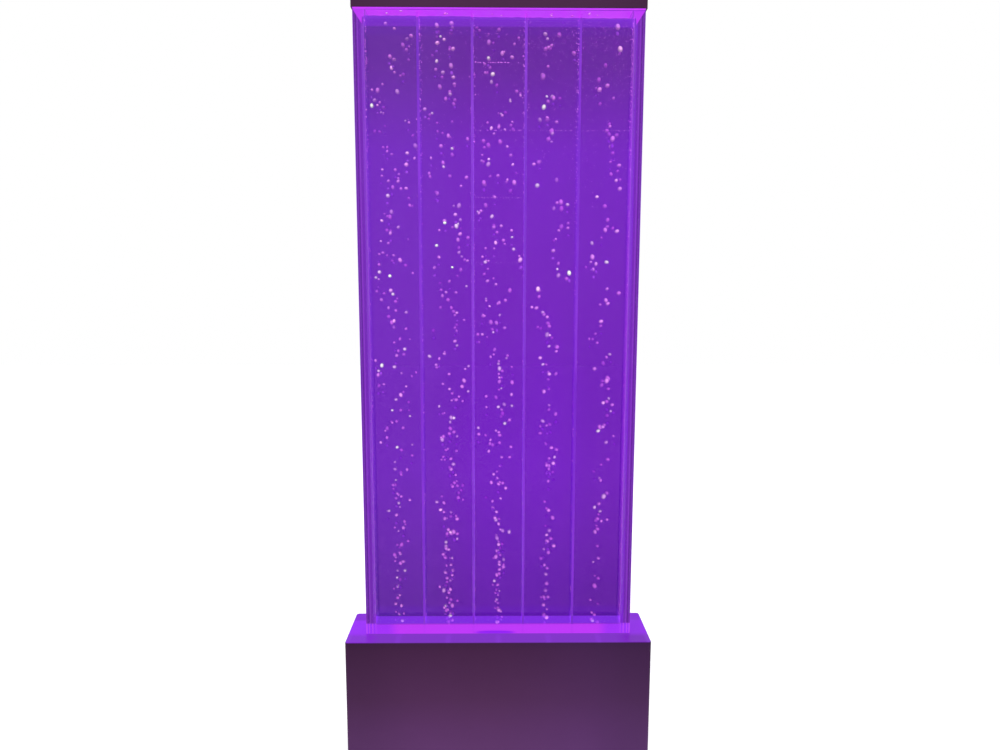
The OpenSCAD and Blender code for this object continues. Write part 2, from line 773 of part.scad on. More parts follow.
// A short tube from each nozzle to its check valve, and a long one from there to the manifold
module air_tubes() {
    valve_top_z = check_valve_z + check_valve_l / 2;
    valve_foot_z = check_valve_z - check_valve_l / 2;
    color(silicone_milk)
    for (i = [1:chambers]) {
        away = abs(i - (chambers + 1) / 2);
        run_z = outlet_end_z + 36 - 12 * away;
        translate([chamber_x(i), 0, valve_top_z]) cylinder(h = nozzle_end_z - valve_top_z, r = tube_r);
        tube([[outlet_x(i), manifold_y, outlet_end_z], [outlet_x(i), manifold_y, outlet_end_z + 6],
            [outlet_x(i), tube_run_y, run_z],
                [chamber_x(i) * 0.8 + outlet_x(i) * 0.2, tube_run_y, run_z],
            [chamber_x(i), tube_run_y - 12, run_z], [chamber_x(i), 0, run_z + 8],
                [chamber_x(i), 0, valve_foot_z]], tube_r);
    }
}

module air_manifold() {
    color(plastic_white)
    union() {
        difference() {
            block(0, manifold_y, manifold_z - manifold_s / 2, manifold_l, manifold_s, manifold_s);
            for (i = [1:chambers])
                rod_y(outlet_x(i), manifold_back_y - stem_l, manifold_z, stem_r + running_gap,
                    stem_l + 1);
        }
        for (i = [1:chambers])
            translate([outlet_x(i), manifold_y, manifold_z + manifold_s / 2]) barb(barb_r, barb_l, 0);
        translate([-manifold_l / 2, manifold_y, manifold_z]) rotate([0, -90, 0])
            barb(barb_r, barb_l, 0);
    }
}

// A bracket between the two inner legs that carries the manifold
module manifold_bracket() {
    bracket_t = 2;
    bracket_w = 2 * inner_leg_x - leg_w;
    front_y = manifold_y - manifold_s / 2 - bracket_t;
    low_z = manifold_z - manifold_s / 2 - bracket_t;
    color(steel_grey)
    union() {
        block(0, manifold_y - bracket_t / 2, low_z, bracket_w, manifold_s + bracket_t, bracket_t);
        block(0, front_y + bracket_t / 2, low_z, bracket_w, bracket_t, manifold_s + bracket_t);
        for (side = [-1, 1])
            block(side * (bracket_w / 2 - bracket_t / 2), front_y - 12, low_z, bracket_t, 26,
                manifold_s + bracket_t);
    }
}

// Quarter-turn handle of one air valve
module air_lever(i) {
    hub_r = 5;
    hub_l = 4;
    handle_t = 2.5;
    face_y = manifold_back_y + 0.3;
    color(lever_red)
    union() {
        rod_y(outlet_x(i), manifold_back_y - stem_l + 0.5, manifold_z, stem_r, stem_l);
        rod_y(outlet_x(i), face_y, manifold_z, hub_r, hub_l);
        wall_block(outlet_x(i), face_y + hub_l - handle_t, manifold_z, 4.5, handle_t + 3, handle_l);
        for (end = [-1, 1])
            rod_y(outlet_x(i), face_y + hub_l - handle_t, manifold_z + end * handle_l / 2, 2.25,
                handle_t + 3);
    }
}

module pump_tub() {
    color(plastic_black)
    union() {
        difference() {
            translate([pump_x, 0, pump_z]) rounded_prism(pump_w, pump_d, pump_tub_h, pump_corner_r);
            translate([pump_x, 0, pump_z + pump_wall])
                rounded_prism(pump_w - 2 * pump_wall, pump_d - 2 * pump_wall, pump_tub_h,
                    pump_corner_r - pump_wall);
        }
        translate([pump_x + pump_w / 2, pump_outlet_y, pump_outlet_z]) rotate([0, 90, 0]) {
            translate([0, 0, -pump_wall / 2])
                cylinder(h = pump_wall / 2 + pump_outlet_l, r = pump_outlet_r);
            translate([0, 0, pump_outlet_l]) barb(barb_r, barb_l, 0);
        }
    }
}

// Lid of the air pump, hollow below and grooved above
module pump_cover() {
    edge_r = 8;
    groove_pitch = 9;
    groove_w = 3;
    groove_depth = 2;
    grooves = floor((pump_w - 44) / groove_pitch);
    cover_z = pump_z + pump_tub_h;
    color(plastic_black)
    difference() {
        translate([pump_x, 0, cover_z])
            soft_top_block(pump_w, pump_d, pump_cover_h, pump_corner_r, edge_r);
        translate([pump_x, 0, cover_z - 1])
            rounded_prism(pump_w - 2 * pump_wall, pump_d - 2 * pump_wall, pump_cover_h - edge_r,
                pump_corner_r - pump_wall);
        for (i = [0:grooves - 1])
            block(pump_x + (i - (grooves - 1) / 2) * groove_pitch, 0,
                cover_z + pump_cover_h - groove_depth,
                groove_w, pump_d - 30, groove_depth + 1);
    }
}

module pump_feet() {
    inset = 16;
    color(rubber_black)
    for (sx = [-1, 1]) for (sy = [-1, 1])
        translate([pump_x + sx * (pump_w / 2 - inset), sy * (pump_d / 2 - inset), plate_top_z])
            cylinder(h = pump_feet_h, r1 = 8, r2 = 6);
}

module pump_tube() {
    start_x = pump_x + pump_w / 2 + pump_outlet_l + barb_l;
    end_x = -manifold_l / 2 - barb_l;
    color(silicone_milk)
    tube([[start_x, pump_outlet_y, pump_outlet_z], [start_x + 6, pump_outlet_y, pump_outlet_z],
        [start_x + 14, manifold_y, pump_outlet_z + 4],
            [-inner_leg_x - 6, manifold_y + 3, pump_outlet_z + 30],
        [-inner_leg_x - 6, manifold_y + 3, manifold_z - 6], [end_x - 14, manifold_y, manifold_z],
        [end_x, manifold_y, manifold_z]], tube_r);
}

// Drain
module drain_fitting() {
    color(brass_yellow)
    translate([drain_hole_x, 0, floor_under_z]) difference() {
        union() {
            cylinder(h = drain_wall_l - 0.5, r = drain_bore_r);
            translate([0, 0, -nozzle_hex_h])
                cylinder(h = nozzle_hex_h, r = drain_bore_r + 2.2, $fn = 6);
            translate([0, 0, -nozzle_hex_h]) mirror([0, 0, 1]) barb(drain_barb_r, barb_l, 0);
        }
        translate([0, 0, -nozzle_hex_h - barb_l - 1])
            cylinder(h = nozzle_hex_h + barb_l + floor_t, r = 3);
    }
}

module drain_pipe() {
    color(silicone_milk)
    tube([[drain_hole_x, 0, nozzle_end_z], [drain_hole_x, 0, nozzle_end_z - 60],
        [drain_x, 0, drain_z + 60],
        [drain_x, -14, drain_z + 30], [drain_x, -16, drain_z], [drain_x, drain_end_y - 14, drain_z],
        [drain_x, drain_end_y, drain_z]], drain_pipe_r);
}

// Tap in the recess, with its shank through the recess wall and its barb inside
module drain_valve() {
    color(brass_yellow)
    difference() {
        union() {
            translate([drain_x, recess_back_y - drain_hex_l, drain_z]) rotate([90, 0, 0])
                barb(drain_barb_r, barb_l, 0);
            hex_y(drain_x, recess_back_y - drain_hex_l, drain_z, drain_hex_r, drain_hex_l);
            rod_y(drain_x, recess_back_y - 1, drain_z, shank_r, drain_barrel_y - recess_back_y + 2);
            rod_y(drain_x, drain_barrel_y, drain_z, drain_barrel_r, drain_barrel_l);
            rod_y(drain_x, drain_barrel_y + drain_barrel_l - 1, drain_z, spout_r, spout_l + 1);
            translate([drain_x, drain_stem_y, drain_z])
                cylinder(h = drain_bonnet_z - drain_z, r = drain_bonnet_r);
        }
        rod_y(drain_x, drain_barrel_y + 4, drain_z, spout_r - 1.5, drain_barrel_l + spout_l);
        translate([drain_x, drain_stem_y, drain_bonnet_z - 8])
            cylinder(h = 9, r = drain_stem_r + running_gap);
    }
}

module drain_nut() {
    color(brass_yellow)
    difference() {
        hex_y(drain_x, recess_floor_y, drain_z, drain_hex_r, 5);
        rod_y(drain_x, recess_floor_y - 1, drain_z, shank_r + fixed_gap, 7);
    }
}

// Lever of the tap: it lies across the spout when shut, and along it when open
module drain_lever() {
    hub_r = 7;
    arm_w = 9;
    arm_t = 3.5;
    foot_z = drain_bonnet_z + 0.3;
    color(lever_red)
    union() {
        translate([drain_x, drain_stem_y, drain_bonnet_z - 7]) cylinder(h = 8, r = drain_stem_r);
        translate([drain_x, drain_stem_y, foot_z]) cylinder(h = arm_t + 2.5, r = hub_r);
        translate([drain_x - drain_lever_l, drain_stem_y - arm_w / 2, foot_z + 1])
            cube([drain_lever_l, arm_w, arm_t]);
        translate([drain_x - drain_lever_l, drain_stem_y, foot_z + 1])
            cylinder(h = arm_t, r = arm_w / 2);
    }
}

// Lights
module led_row(l, w) {
    count = floor(l / led_pitch);
    block(0, 0, 0, l, w, board_t);
    for (i = [0:count - 1])
        block((i - (count - 1) / 2) * led_pitch, 0, board_t - 0.2, led_s, led_s, led_h + 0.2);
}

// Two aluminium sections stand on the cradle, each with a tray for its strip
module lower_light_channels() {
    half_w = channel_w / 2;
    tray_z = channel_h - channel_tray;
    section = [[-half_w, 0], [half_w, 0], [half_w, channel_h], [half_w - channel_lip, channel_h],
        [half_w - channel_lip, tray_z], [-half_w + channel_lip, tray_z],
            [-half_w + channel_lip, channel_h],
        [-half_w, channel_h]];
    color(alloy_grey)
    for (side = [-1, 1]) translate([strip_l / 2, side * light_y, cradle_top_z]) difference() {
        rotate([90, 0, -90]) linear_extrude(strip_l) polygon(section);
        translate([-strip_l - 1, -half_w + channel_lip, channel_lip])
            cube([strip_l + 2, channel_w - 2 * channel_lip, tray_z - 2 * channel_lip]);
    }
}

module lower_light_strips() {
    color(board_white)
    for (side = [-1, 1])
        translate([0, side * light_y, cradle_top_z + channel_h - channel_tray])
            led_row(strip_l - 2 * board_end_gap, board_w);
}

// Box that drives the lights, with cooling grooves in its lid
module light_controller() {
    groove_pitch = 8;
    groove_depth = 1;
    color(plastic_black)
    difference() {
        translate([controller_x, controller_y, plate_top_z])
            soft_top_block(controller_w, controller_d, controller_h, 4, 2);
        for (i = [-3:3])
            block(controller_x + i * groove_pitch, controller_y, controller_top_z - groove_depth,
                2, controller_d - 16, groove_depth + 1);
    }
}

// Wires from the inlet to the switch, on to the controller, and from there to the pump and lights
module wiring() {
    inlet_end_y = recess_back_y - inlet_l;
    switch_end_y = recess_floor_y - switch_body_l;
    tab = 4;
    port_z = plate_top_z + 14;
    floor_run_z = plate_top_z + 8;
    front_run_y = -leg_d / 2 - 22;
    pump_port_y = -pump_d / 2 + 20;
    pump_port_z = pump_z + 16;
    pump_end_x = pump_x + pump_w / 2;
    color(plastic_black) {
        tube([[power_x, inlet_end_y, inlet_z], [power_x, inlet_end_y - 10, inlet_z],
            [power_x, inlet_end_y - 12, switch_z + 2 * tab],
                [power_x, switch_end_y - 8, switch_z + tab],
            [power_x, switch_end_y, switch_z + tab]], wire_r);
        tube([[power_x, switch_end_y, switch_z - tab], [power_x, switch_end_y - 16, switch_z - tab],
            [power_x - 12, -20, switch_z - 22],
                [controller_x + controller_w / 2 + 20, controller_y, port_z],
            [controller_x + controller_w / 2, controller_y, port_z]], wire_r);
        tube([[controller_x, controller_y, controller_top_z],
            [controller_x, controller_y, controller_top_z + 40],
            [controller_x, front_run_y, cradle_under_z - 96],
                [controller_x, front_run_y + 2, cradle_under_z - 7],
            [controller_x, -44, cradle_under_z - 9], [controller_x, -light_y - 4, cradle_under_z - 6],
            [controller_x, -light_y, cradle_under_z - 4], [controller_x, -light_y, cradle_under_z]],
                wire_r);
        tube([[controller_x - controller_w / 2, controller_y, port_z],
            [controller_x - 60, controller_y, port_z],
            [60, front_run_y, floor_run_z], [-inner_leg_x + 15, front_run_y - 2, floor_run_z],
            [pump_end_x + 24, pump_port_y - 6, pump_port_z],
                [pump_end_x + 12, pump_port_y, pump_port_z],
            [pump_end_x, pump_port_y, pump_port_z]], wire_r);
    }
}

// Power inlet and switch
module power_inlet() {
    bore_r = 2.8;
    pin_r = 1;
    color(plastic_black)
    union() {
        difference() {
            union() {
                rod_y(power_x, recess_back_y - inlet_l, inlet_z, inlet_r, inlet_l + base_wall + 1);
                rod_y(power_x, recess_floor_y, inlet_z, inlet_r + 2, 2.5);
            }
            rod_y(power_x, recess_back_y - inlet_l + 3, inlet_z, bore_r, inlet_l + base_wall + 3);
        }
        rod_y(power_x, recess_back_y - inlet_l + 2, inlet_z, pin_r, inlet_l + base_wall - 2);
    }
}

module switch_frame() {
    color(plastic_black)
    difference() {
        union() {
            wall_block(power_x, recess_floor_y - switch_body_l, switch_z, switch_frame_w,
                switch_body_l + 1, switch_frame_h);
            wall_block(power_x, recess_floor_y, switch_z, switch_frame_w + 2 * bezel_lap, bezel_t,
                switch_frame_h + 2 * bezel_lap);
        }
        wall_block(power_x, recess_floor_y - switch_body_l + 3, switch_z, rocker_w + 2 * rocker_gap,
            switch_body_l + 2, rocker_h + 2 * rocker_gap);
        translate([power_x - rocker_w / 2 - switch_wall, rocker_pivot_y, switch_z]) rotate([0, 90, 0])
            cylinder(h = rocker_w + 2 * switch_wall, r = rocker_pin_r + running_gap);
    }
}

// The rocker leans to its off side at rest, and its two faces meet in a shallow valley
module switch_rocker() {
    face = rocker_h / 2 - 0.4;
    color(lever_red)
    translate([power_x, rocker_pivot_y, switch_z]) rotate([rocker_lean, 0, 0]) union() {
        translate([-rocker_w / 2, 0, 0]) rotate([90, 0, 90]) linear_extrude(rocker_w)
            polygon([[-3, -3], [1, -face], [5, -face], [3.4, 0], [5, face], [1, face], [-3, 3]]);
        translate([-rocker_w / 2 - rocker_pin_l, 0, 0]) rotate([0, 90, 0])
            cylinder(h = rocker_w + 2 * rocker_pin_l, r = rocker_pin_r);
    }
}

// Cap: a thin moulding with cross ribs, cut out in the middle for the channel of its light
module cap_shell() {
    inner_w = cap_w - 2 * cap_wall;
    inner_cap_d = cap_d - 2 * cap_wall;
    boss_z = cap_channel_z + cap_channel_t;
    color(base_colour)
    difference() {
        union() {
            difference() {
                translate([0, 0, cap_z]) soft_top_block(cap_w, cap_d, cap_h, 4, base_edge_r);
                translate([0, 0, cap_z - 1])
                    rounded_prism(inner_w, inner_cap_d, cap_h - cap_wall + 1, 1.2);
            }
            for (x = cap_rib_xs)
                block(x, 0, panel_top_z, cap_rib_t, inner_cap_d + 1, cap_ceiling_z - panel_top_z + 1);
            for (side = [-1, 1])
                translate([side * cap_boss_x, 0, boss_z])
                    cylinder(h = cap_ceiling_z - boss_z + 1, r = cap_boss_r);
        }
        block(0, 0, panel_top_z - 1, 2 * cap_rib_xs[4] + 10, cap_channel_w + 2 * fixed_gap,
            boss_z - panel_top_z + 1);
        for (side = [-1, 1])
            translate([side * cap_boss_x, 0, cap_channel_z])
                cylinder(h = cap_screw_l + 4, r = screw_r + fixed_gap / 2);
    }
}

// The light panel closes the cap's underside and rests over the tank
module cap_light_panel() {
    color(lit_magenta)
    difference() {
        translate([0, 0, cap_z])
            rounded_prism(cap_w - 2 * cap_wall - 2 * plate_gap, cap_d - 2 * cap_wall - 2 * plate_gap,
                light_panel_t, 1);
        for (pin = [-1, 1])
            translate([socket_x + pin * pin_pitch / 2, groove_y, cap_z - 1])
                cylinder(h = light_panel_t + 2, r = plug_pin_r + fixed_gap);
    }
}

module cap_light_channel() {
    l = 2 * (cap_boss_x + screw_head_r + 4.2);
    color(alloy_grey)
    difference() {
        block(0, 0, cap_channel_z + cap_channel_t - cap_channel_flange, l, cap_channel_w,
            cap_channel_flange);
        block(0, 0, cap_channel_z - cap_channel_flange, l + 2, cap_channel_w - 2 * cap_channel_t,
            cap_channel_flange);
        for (side = [-1, 1])
            translate([side * cap_boss_x, 0, cap_channel_z - 1])
                cylinder(h = cap_channel_t + 2, r = screw_r + fixed_gap);
    }
}

module cap_light_strip() {
    color(board_white)
    translate([0, 0, cap_channel_z]) mirror([0, 0, 1]) led_row(cap_strip_l, board_w);
}

module cap_screws() {
    head_h = 2;
    color(steel_grey)
    for (side = [-1, 1]) translate([side * cap_boss_x, 0, cap_channel_z - head_h]) {
        cylinder(h = head_h, r = screw_head_r);
        cylinder(h = head_h + cap_screw_l, r = screw_r);
    }
}

// Two clear tongues locate the cap in the end chambers
module cap_tongues() {
    tongue_t = 4;
    play = 1;
    color(clear_violet)
    for (side = [-1, 1])
        block(side * (edge_bar_x - play - tongue_t / 2), 0, cap_z - tongue_drop, tongue_t,
            inner_d - 2 * play, tongue_drop);
}

// The plug rides on the cap, with two pins that drop into the socket at the head of the left edge bar
module cap_plug() {
    color(plastic_white) {
        block(socket_x, groove_y, panel_top_z, socket_w, socket_d, plug_h);
        for (pin = [-1, 1])
            translate([socket_x + pin * pin_pitch / 2, groove_y, cap_z - plug_pin_l])
                cylinder(h = plug_pin_l + light_panel_t + 1, r = plug_pin_r);
    }
}

module cap_socket() {
    pin_hole_l = plug_pin_l + 3;
    color(plastic_white)
    difference() {
        block(socket_x, groove_y, tank_top_z - socket_h, socket_w, socket_d, socket_h);
        for (pin = [-1, 1])
            translate([socket_x + pin * pin_pitch / 2, groove_y, tank_top_z - pin_hole_l])
                cylinder(h = pin_hole_l + 1, r = plug_pin_r + 2 * fixed_gap);
    }
}

// The lead runs from the controller under the cradle, then up the groove of the left edge bar
module cap_lead() {
    run_y = -leg_d / 2 - 20;
    run_z = cradle_under_z - 34;
    port_x = controller_x - 20;
    color(plastic_white)
    tube([[lead_x, groove_y, tank_top_z - socket_h], [lead_x, groove_y, cradle_under_z - 2],
        [lead_x, groove_y, cradle_under_z - 14], [lead_x, groove_y / 2, run_z + 4],
            [lead_x, run_y + 6, run_z],
        [lead_x + 40, run_y, run_z], [controller_x - 60, run_y, run_z], [port_x, run_y + 2, run_z - 6],
        [port_x, controller_y, controller_top_z + 90], [port_x, controller_y, controller_top_z]],
            lead_r);
}

base_shell();
bottom_plate();
bottom_plate_screws();
rubber_feet();
access_panel();
access_panel_screws();
deck_seal();
tank_cradle();
cradle_legs();
cradle_bolts();
tank_pads();
sheet(-1);  // front_sheet
sheet(1);  // back_sheet
end_wall(-1);  // left_end_wall
end_wall(1);  // right_end_wall
edge_bar(-1);  // left_edge_bar
edge_bar(1);  // right_edge_bar
divider(1);  // divider_1
divider(2);  // divider_2
divider(3);  // divider_3
divider(4);  // divider_4
tank_floor();
air_nozzles();
check_valves();
air_tubes();
air_manifold();
manifold_bracket();
air_lever(1);  // air_lever_1
air_lever(2);  // air_lever_2
air_lever(3);  // air_lever_3
air_lever(4);  // air_lever_4
air_lever(5);  // air_lever_5
pump_tub();
pump_cover();
pump_feet();
pump_tube();
drain_fitting();
drain_pipe();
drain_valve();
drain_nut();
drain_lever();
lower_light_channels();
lower_light_strips();
light_controller();
wiring();
power_inlet();
switch_frame();
switch_rocker();
cap_shell();
cap_light_panel();
cap_light_channel();
cap_light_strip();
cap_screws();
cap_tongues();
cap_plug();
cap_socket();
cap_lead();
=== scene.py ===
"""Looks of the bubble wall: a five-chamber lit water tank on a moulded base, with a lit cap."""
import math
import random

import bmesh
import bpy
from mathutils import Matrix, Vector


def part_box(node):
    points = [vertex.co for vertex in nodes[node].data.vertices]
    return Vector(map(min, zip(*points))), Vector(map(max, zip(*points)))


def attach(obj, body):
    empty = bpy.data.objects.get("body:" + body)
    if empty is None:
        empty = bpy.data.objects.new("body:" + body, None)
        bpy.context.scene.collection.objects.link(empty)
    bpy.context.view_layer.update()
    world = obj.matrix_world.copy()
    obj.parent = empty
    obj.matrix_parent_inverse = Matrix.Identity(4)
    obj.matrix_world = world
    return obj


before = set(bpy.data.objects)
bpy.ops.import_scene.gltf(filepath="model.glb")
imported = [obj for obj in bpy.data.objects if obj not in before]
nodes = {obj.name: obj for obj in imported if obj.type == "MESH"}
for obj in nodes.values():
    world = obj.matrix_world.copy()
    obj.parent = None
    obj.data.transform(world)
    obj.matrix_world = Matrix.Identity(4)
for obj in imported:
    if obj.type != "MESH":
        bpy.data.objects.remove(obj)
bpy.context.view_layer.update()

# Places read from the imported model, in metres
floor_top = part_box("tank_floor")[1].z
sheet_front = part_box("front_sheet")[0].y
sheet_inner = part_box("front_sheet")[1].y
wall_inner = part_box("left_edge_bar")[1].x
wall_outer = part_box("left_end_wall")[0].x
deck_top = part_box("base_shell")[1].z
panel_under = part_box("cap_light_panel")[0].z
divider_boxes = [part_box("divider_%d" % i) for i in (1, 2, 3, 4)]
CHAMBERS = []
left_face = wall_inner
for low, high in divider_boxes:
    CHAMBERS.append((left_face, low.x))
    left_face = high.x
CHAMBERS.append((left_face, -wall_inner))

WATER_GAP = 0.0003
# Air between the water and the light panel
AIR_GAP = 0.0163
NOZZLE_PITCH = CHAMBERS[3][0] - CHAMBERS[2][0]
END_WIDTH = wall_inner - wall_outer
WATER_TOP = panel_under - AIR_GAP
# How far each chamber's water stands above WATER_TOP, as the air in it lifts it
WATER_LIFTS = (0.0018, 0.0013, -0.0004, -0.0009, -0.0015)
LIGHT_PITCH = 0.031
WATER_BOTTOM = floor_top + WATER_GAP


# Colours and shader nodes
def shade(red, green, room_blue, gain=1.0):
    """A colour as it reads on screen, 0 to 255, in linear light."""
    linear = []
    for value in (red, green, room_blue):
        value /= 255.0
        linear.append(gain * (value / 12.92 if value <= 0.04045 else ((value + 0.055) / 1.055) ** 2.4))
    return tuple(linear) + (1.0,)


def scaled(colour, gain):
    return tuple(channel * gain for channel in colour[:3]) + (1.0,)


BLACK = (0.0, 0.0, 0.0, 1.0)

SOCKETS = {
    "base": "Base Color", "rough": "Roughness", "metal": "Metallic", "spec": "Specular IOR Level",
    "alpha": "Alpha", "glow": "Emission Color", "power": "Emission Strength", "normal": "Normal",
}


class Shader:
    """One material, with short calls for the nodes that this scene uses."""

    def __init__(self, name, **inputs):
        self.material = bpy.data.materials.new(name)
        self.material.use_nodes = True
        self.tree = self.material.node_tree
        self.tree.nodes.clear()
        self.out = self.tree.nodes.new("ShaderNodeOutputMaterial")
        self.bsdf = self.tree.nodes.new("ShaderNodeBsdfPrincipled")
        self.tree.links.new(self.bsdf.outputs[0], self.out.inputs["Surface"])
        coords = self.tree.nodes.new("ShaderNodeTexCoord")
        self.place = coords.outputs["Object"]
        self.facing = coords.outputs["Normal"]
        self.x, self.y, self.z = self.parts(self.place)
        self.set(**inputs)

    def plug(self, socket, value):
        if isinstance(value, bpy.types.NodeSocket):
            self.tree.links.new(value, socket)
        else:
            socket.default_value = value

    def set(self, **inputs):
        for name, value in inputs.items():
            self.plug(self.bsdf.inputs[SOCKETS[name]], value)
        return self

    def parts(self, vector):
        split = self.tree.nodes.new("ShaderNodeSeparateXYZ")
        self.plug(split.inputs[0], vector)
        return split.outputs[0], split.outputs[1], split.outputs[2]

    def calc(self, operation, *values):
        node = self.tree.nodes.new("ShaderNodeMath")
        node.operation = operation
        for socket, value in zip(node.inputs, values):
            self.plug(socket, value)
        return node.outputs[0]

    def rise(self, value, start, end, low=0.0, high=1.0):
        """From low to high, smoothly, as value goes from start to end."""
        node = self.tree.nodes.new("ShaderNodeMapRange")
        node.interpolation_type = "SMOOTHSTEP"
        self.plug(node.inputs[0], value)
        for socket, number in zip(node.inputs[1:5], (start, end, low, high)):
            self.plug(socket, number)
        return node.outputs[0]

    def stripe(self, value, low, high, soft):
        """1 between low and high, fading over soft on each side."""
        entered = self.rise(value, low - soft, low)
        not_left = self.rise(value, high, high + soft, 1.0, 0.0)
        return self.calc("MULTIPLY", entered, not_left)

    def mix(self, factor, first, second):
        node = self.tree.nodes.new("ShaderNodeMix")
        node.data_type = "RGBA"
        self.plug(node.inputs[0], factor)
        self.plug(node.inputs[6], first)
        self.plug(node.inputs[7], second)
        return node.outputs[2]

    def ramp(self, value, *stops):
        node = self.tree.nodes.new("ShaderNodeValToRGB")
        self.plug(node.inputs[0], value)
        elements = node.color_ramp.elements
        while len(elements) < len(stops):
            elements.new(0.5)
        for element, (position, colour) in zip(elements, stops):
            element.position = position
            element.color = colour
        return node.outputs[0]

    def noise(self, scale, detail=2.0, stretch=(1.0, 1.0, 1.0)):
        move = self.tree.nodes.new("ShaderNodeMapping")
        self.plug(move.inputs["Vector"], self.place)
        move.inputs["Scale"].default_value = tuple(scale * part for part in stretch)
        node = self.tree.nodes.new("ShaderNodeTexNoise")
        self.plug(node.inputs["Vector"], move.outputs[0])
        node.inputs["Scale"].default_value = 1.0
        node.inputs["Detail"].default_value = detail
        node.inputs["Roughness"].default_value = 0.5
        return node.outputs["Fac"]

    def bump(self, height, depth):
        node = self.tree.nodes.new("ShaderNodeBump")
        node.inputs["Strength"].default_value = 1.0
        node.inputs["Distance"].default_value = depth
        self.plug(node.inputs["Height"], height)
        return self.set(normal=node.outputs[0])

    def lamp_row(self):
        """0 at each lamp of a row along the width, 1 halfway between two."""
        return self.calc("ABSOLUTE", self.calc("SINE", self.calc("MULTIPLY", self.x, math.pi / LIGHT_PITCH)))


def solid(name, colour, rough, metal, spec, grain, depth, spread, stretch=(1, 1, 1)):
    """A moulded, cast or rolled surface: mottled colour, uneven gloss and fine grain."""
    s = Shader(name, metal=metal, spec=spec)
    blotches = s.noise(35.0, 4.0)
    fine = s.noise(grain, 2.0, stretch)
    uneven = s.calc("ADD", s.calc("MULTIPLY", blotches, 0.5), s.calc("MULTIPLY", fine, 0.5))
    s.set(
        base=s.mix(blotches, scaled(colour, 1.0 - spread), scaled(colour, 1.0 + spread)),
        rough=s.rise(uneven, 0.3, 0.7, rough * 0.85, min(1.0, rough * 1.15)),
    )
    return s.bump(fine, depth)


def paint(node, shader):
    mesh = nodes[node].data
    mesh.materials.clear()
    mesh.materials.append(shader.material)
    for face in mesh.polygons:
        face.material_index = 0


# Camera, light and floor
scene = bpy.context.scene
scene.view_settings.view_transform = "Standard"

CAMERA_PLACE = Vector((-0.01337, -1.70841, 1.17907))
CAMERA_YAW, CAMERA_PITCH, CAMERA_ROLL = -0.00989, 0.12328, 0.00186
CAMERA_LENS = 24.885
WHITE = (1.0, 1.0, 1.0, 1.0)
SKY_LEVEL = 0.5
FLOOR_HALF_WIDTH = 9.0
# How much the floor is lifted towards white where the camera sees it
FLOOR_LIFT = 0.62
LAMP_SIZE = 1.8
# For each lamp: its name, its place, the height of its aim on the middle of the wall, and its watts
LAMPS = (
    ("key_lamp", (-2.2, -2.8, 2.6), 0.9, 62),
    ("fill_lamp", (2.6, -2.2, 1.5), 0.8, 34),
    ("back_lamp", (0.8, 3.0, 2.8), 1.0, 40),
)


def set_camera():
    data = bpy.data.cameras.new("camera")
    data.lens = CAMERA_LENS
    data.sensor_width = 36.0
    data.clip_start = 0.05
    camera = bpy.data.objects.new("camera", data)
    scene.collection.objects.link(camera)
    level = math.cos(CAMERA_PITCH)
    ahead = Vector((-math.sin(CAMERA_YAW) * level, math.cos(CAMERA_YAW) * level, -math.sin(CAMERA_PITCH)))
    right = Vector((math.cos(CAMERA_YAW), math.sin(CAMERA_YAW), 0.0))
    up = right.cross(ahead)
    right, up = (right * math.cos(CAMERA_ROLL) + up * math.sin(CAMERA_ROLL),
                 up * math.cos(CAMERA_ROLL) - right * math.sin(CAMERA_ROLL))
    turn = Matrix((right, up, -ahead)).transposed()
    camera.matrix_world = Matrix.Translation(CAMERA_PLACE) @ turn.to_4x4()
    scene.camera = camera


def set_world(level):
    """White where the camera, a mirror or glass looks, and a plain grey sky of this level as light."""
    world = bpy.data.worlds.new("studio")
    scene.world = world
    world.use_nodes = True
    tree = world.node_tree
    tree.nodes.clear()
    out = tree.nodes.new("ShaderNodeOutputWorld")
    rays = tree.nodes.new("ShaderNodeLightPath")
    seen = rays.outputs["Is Camera Ray"]
    for name in ("Is Glossy Ray", "Is Transmission Ray"):
        either = tree.nodes.new("ShaderNodeMath")
        either.operation = "MAXIMUM"
        tree.links.new(seen, either.inputs[0])
        tree.links.new(rays.outputs[name], either.inputs[1])
        seen = either.outputs[0]
    choice = tree.nodes.new("ShaderNodeMixShader")
    lamp_sky = tree.nodes.new("ShaderNodeBackground")
    lamp_sky.inputs[0].default_value = WHITE
    lamp_sky.inputs[1].default_value = level
    white_sky = tree.nodes.new("ShaderNodeBackground")
    white_sky.inputs[0].default_value = WHITE
    white_sky.inputs[1].default_value = 1.0
    tree.links.new(seen, choice.inputs[0])
    tree.links.new(lamp_sky.outputs[0], choice.inputs[1])
    tree.links.new(white_sky.outputs[0], choice.inputs[2])
    tree.links.new(choice.outputs[0], out.inputs["Surface"])


def add_lamp(name, place, aim_height, watts):
    data = bpy.data.lights.new(name, "AREA")
    data.shape = "DISK"
    data.size = LAMP_SIZE
    data.energy = watts
    lamp = bpy.data.objects.new(name, data)
    scene.collection.objects.link(lamp)
    lamp.location = place
    lamp.rotation_euler = (Vector((0, 0, aim_height)) - Vector(place)).to_track_quat("-Z", "Y").to_euler()
    lamp.visible_camera = False
    lamp.visible_glossy = False


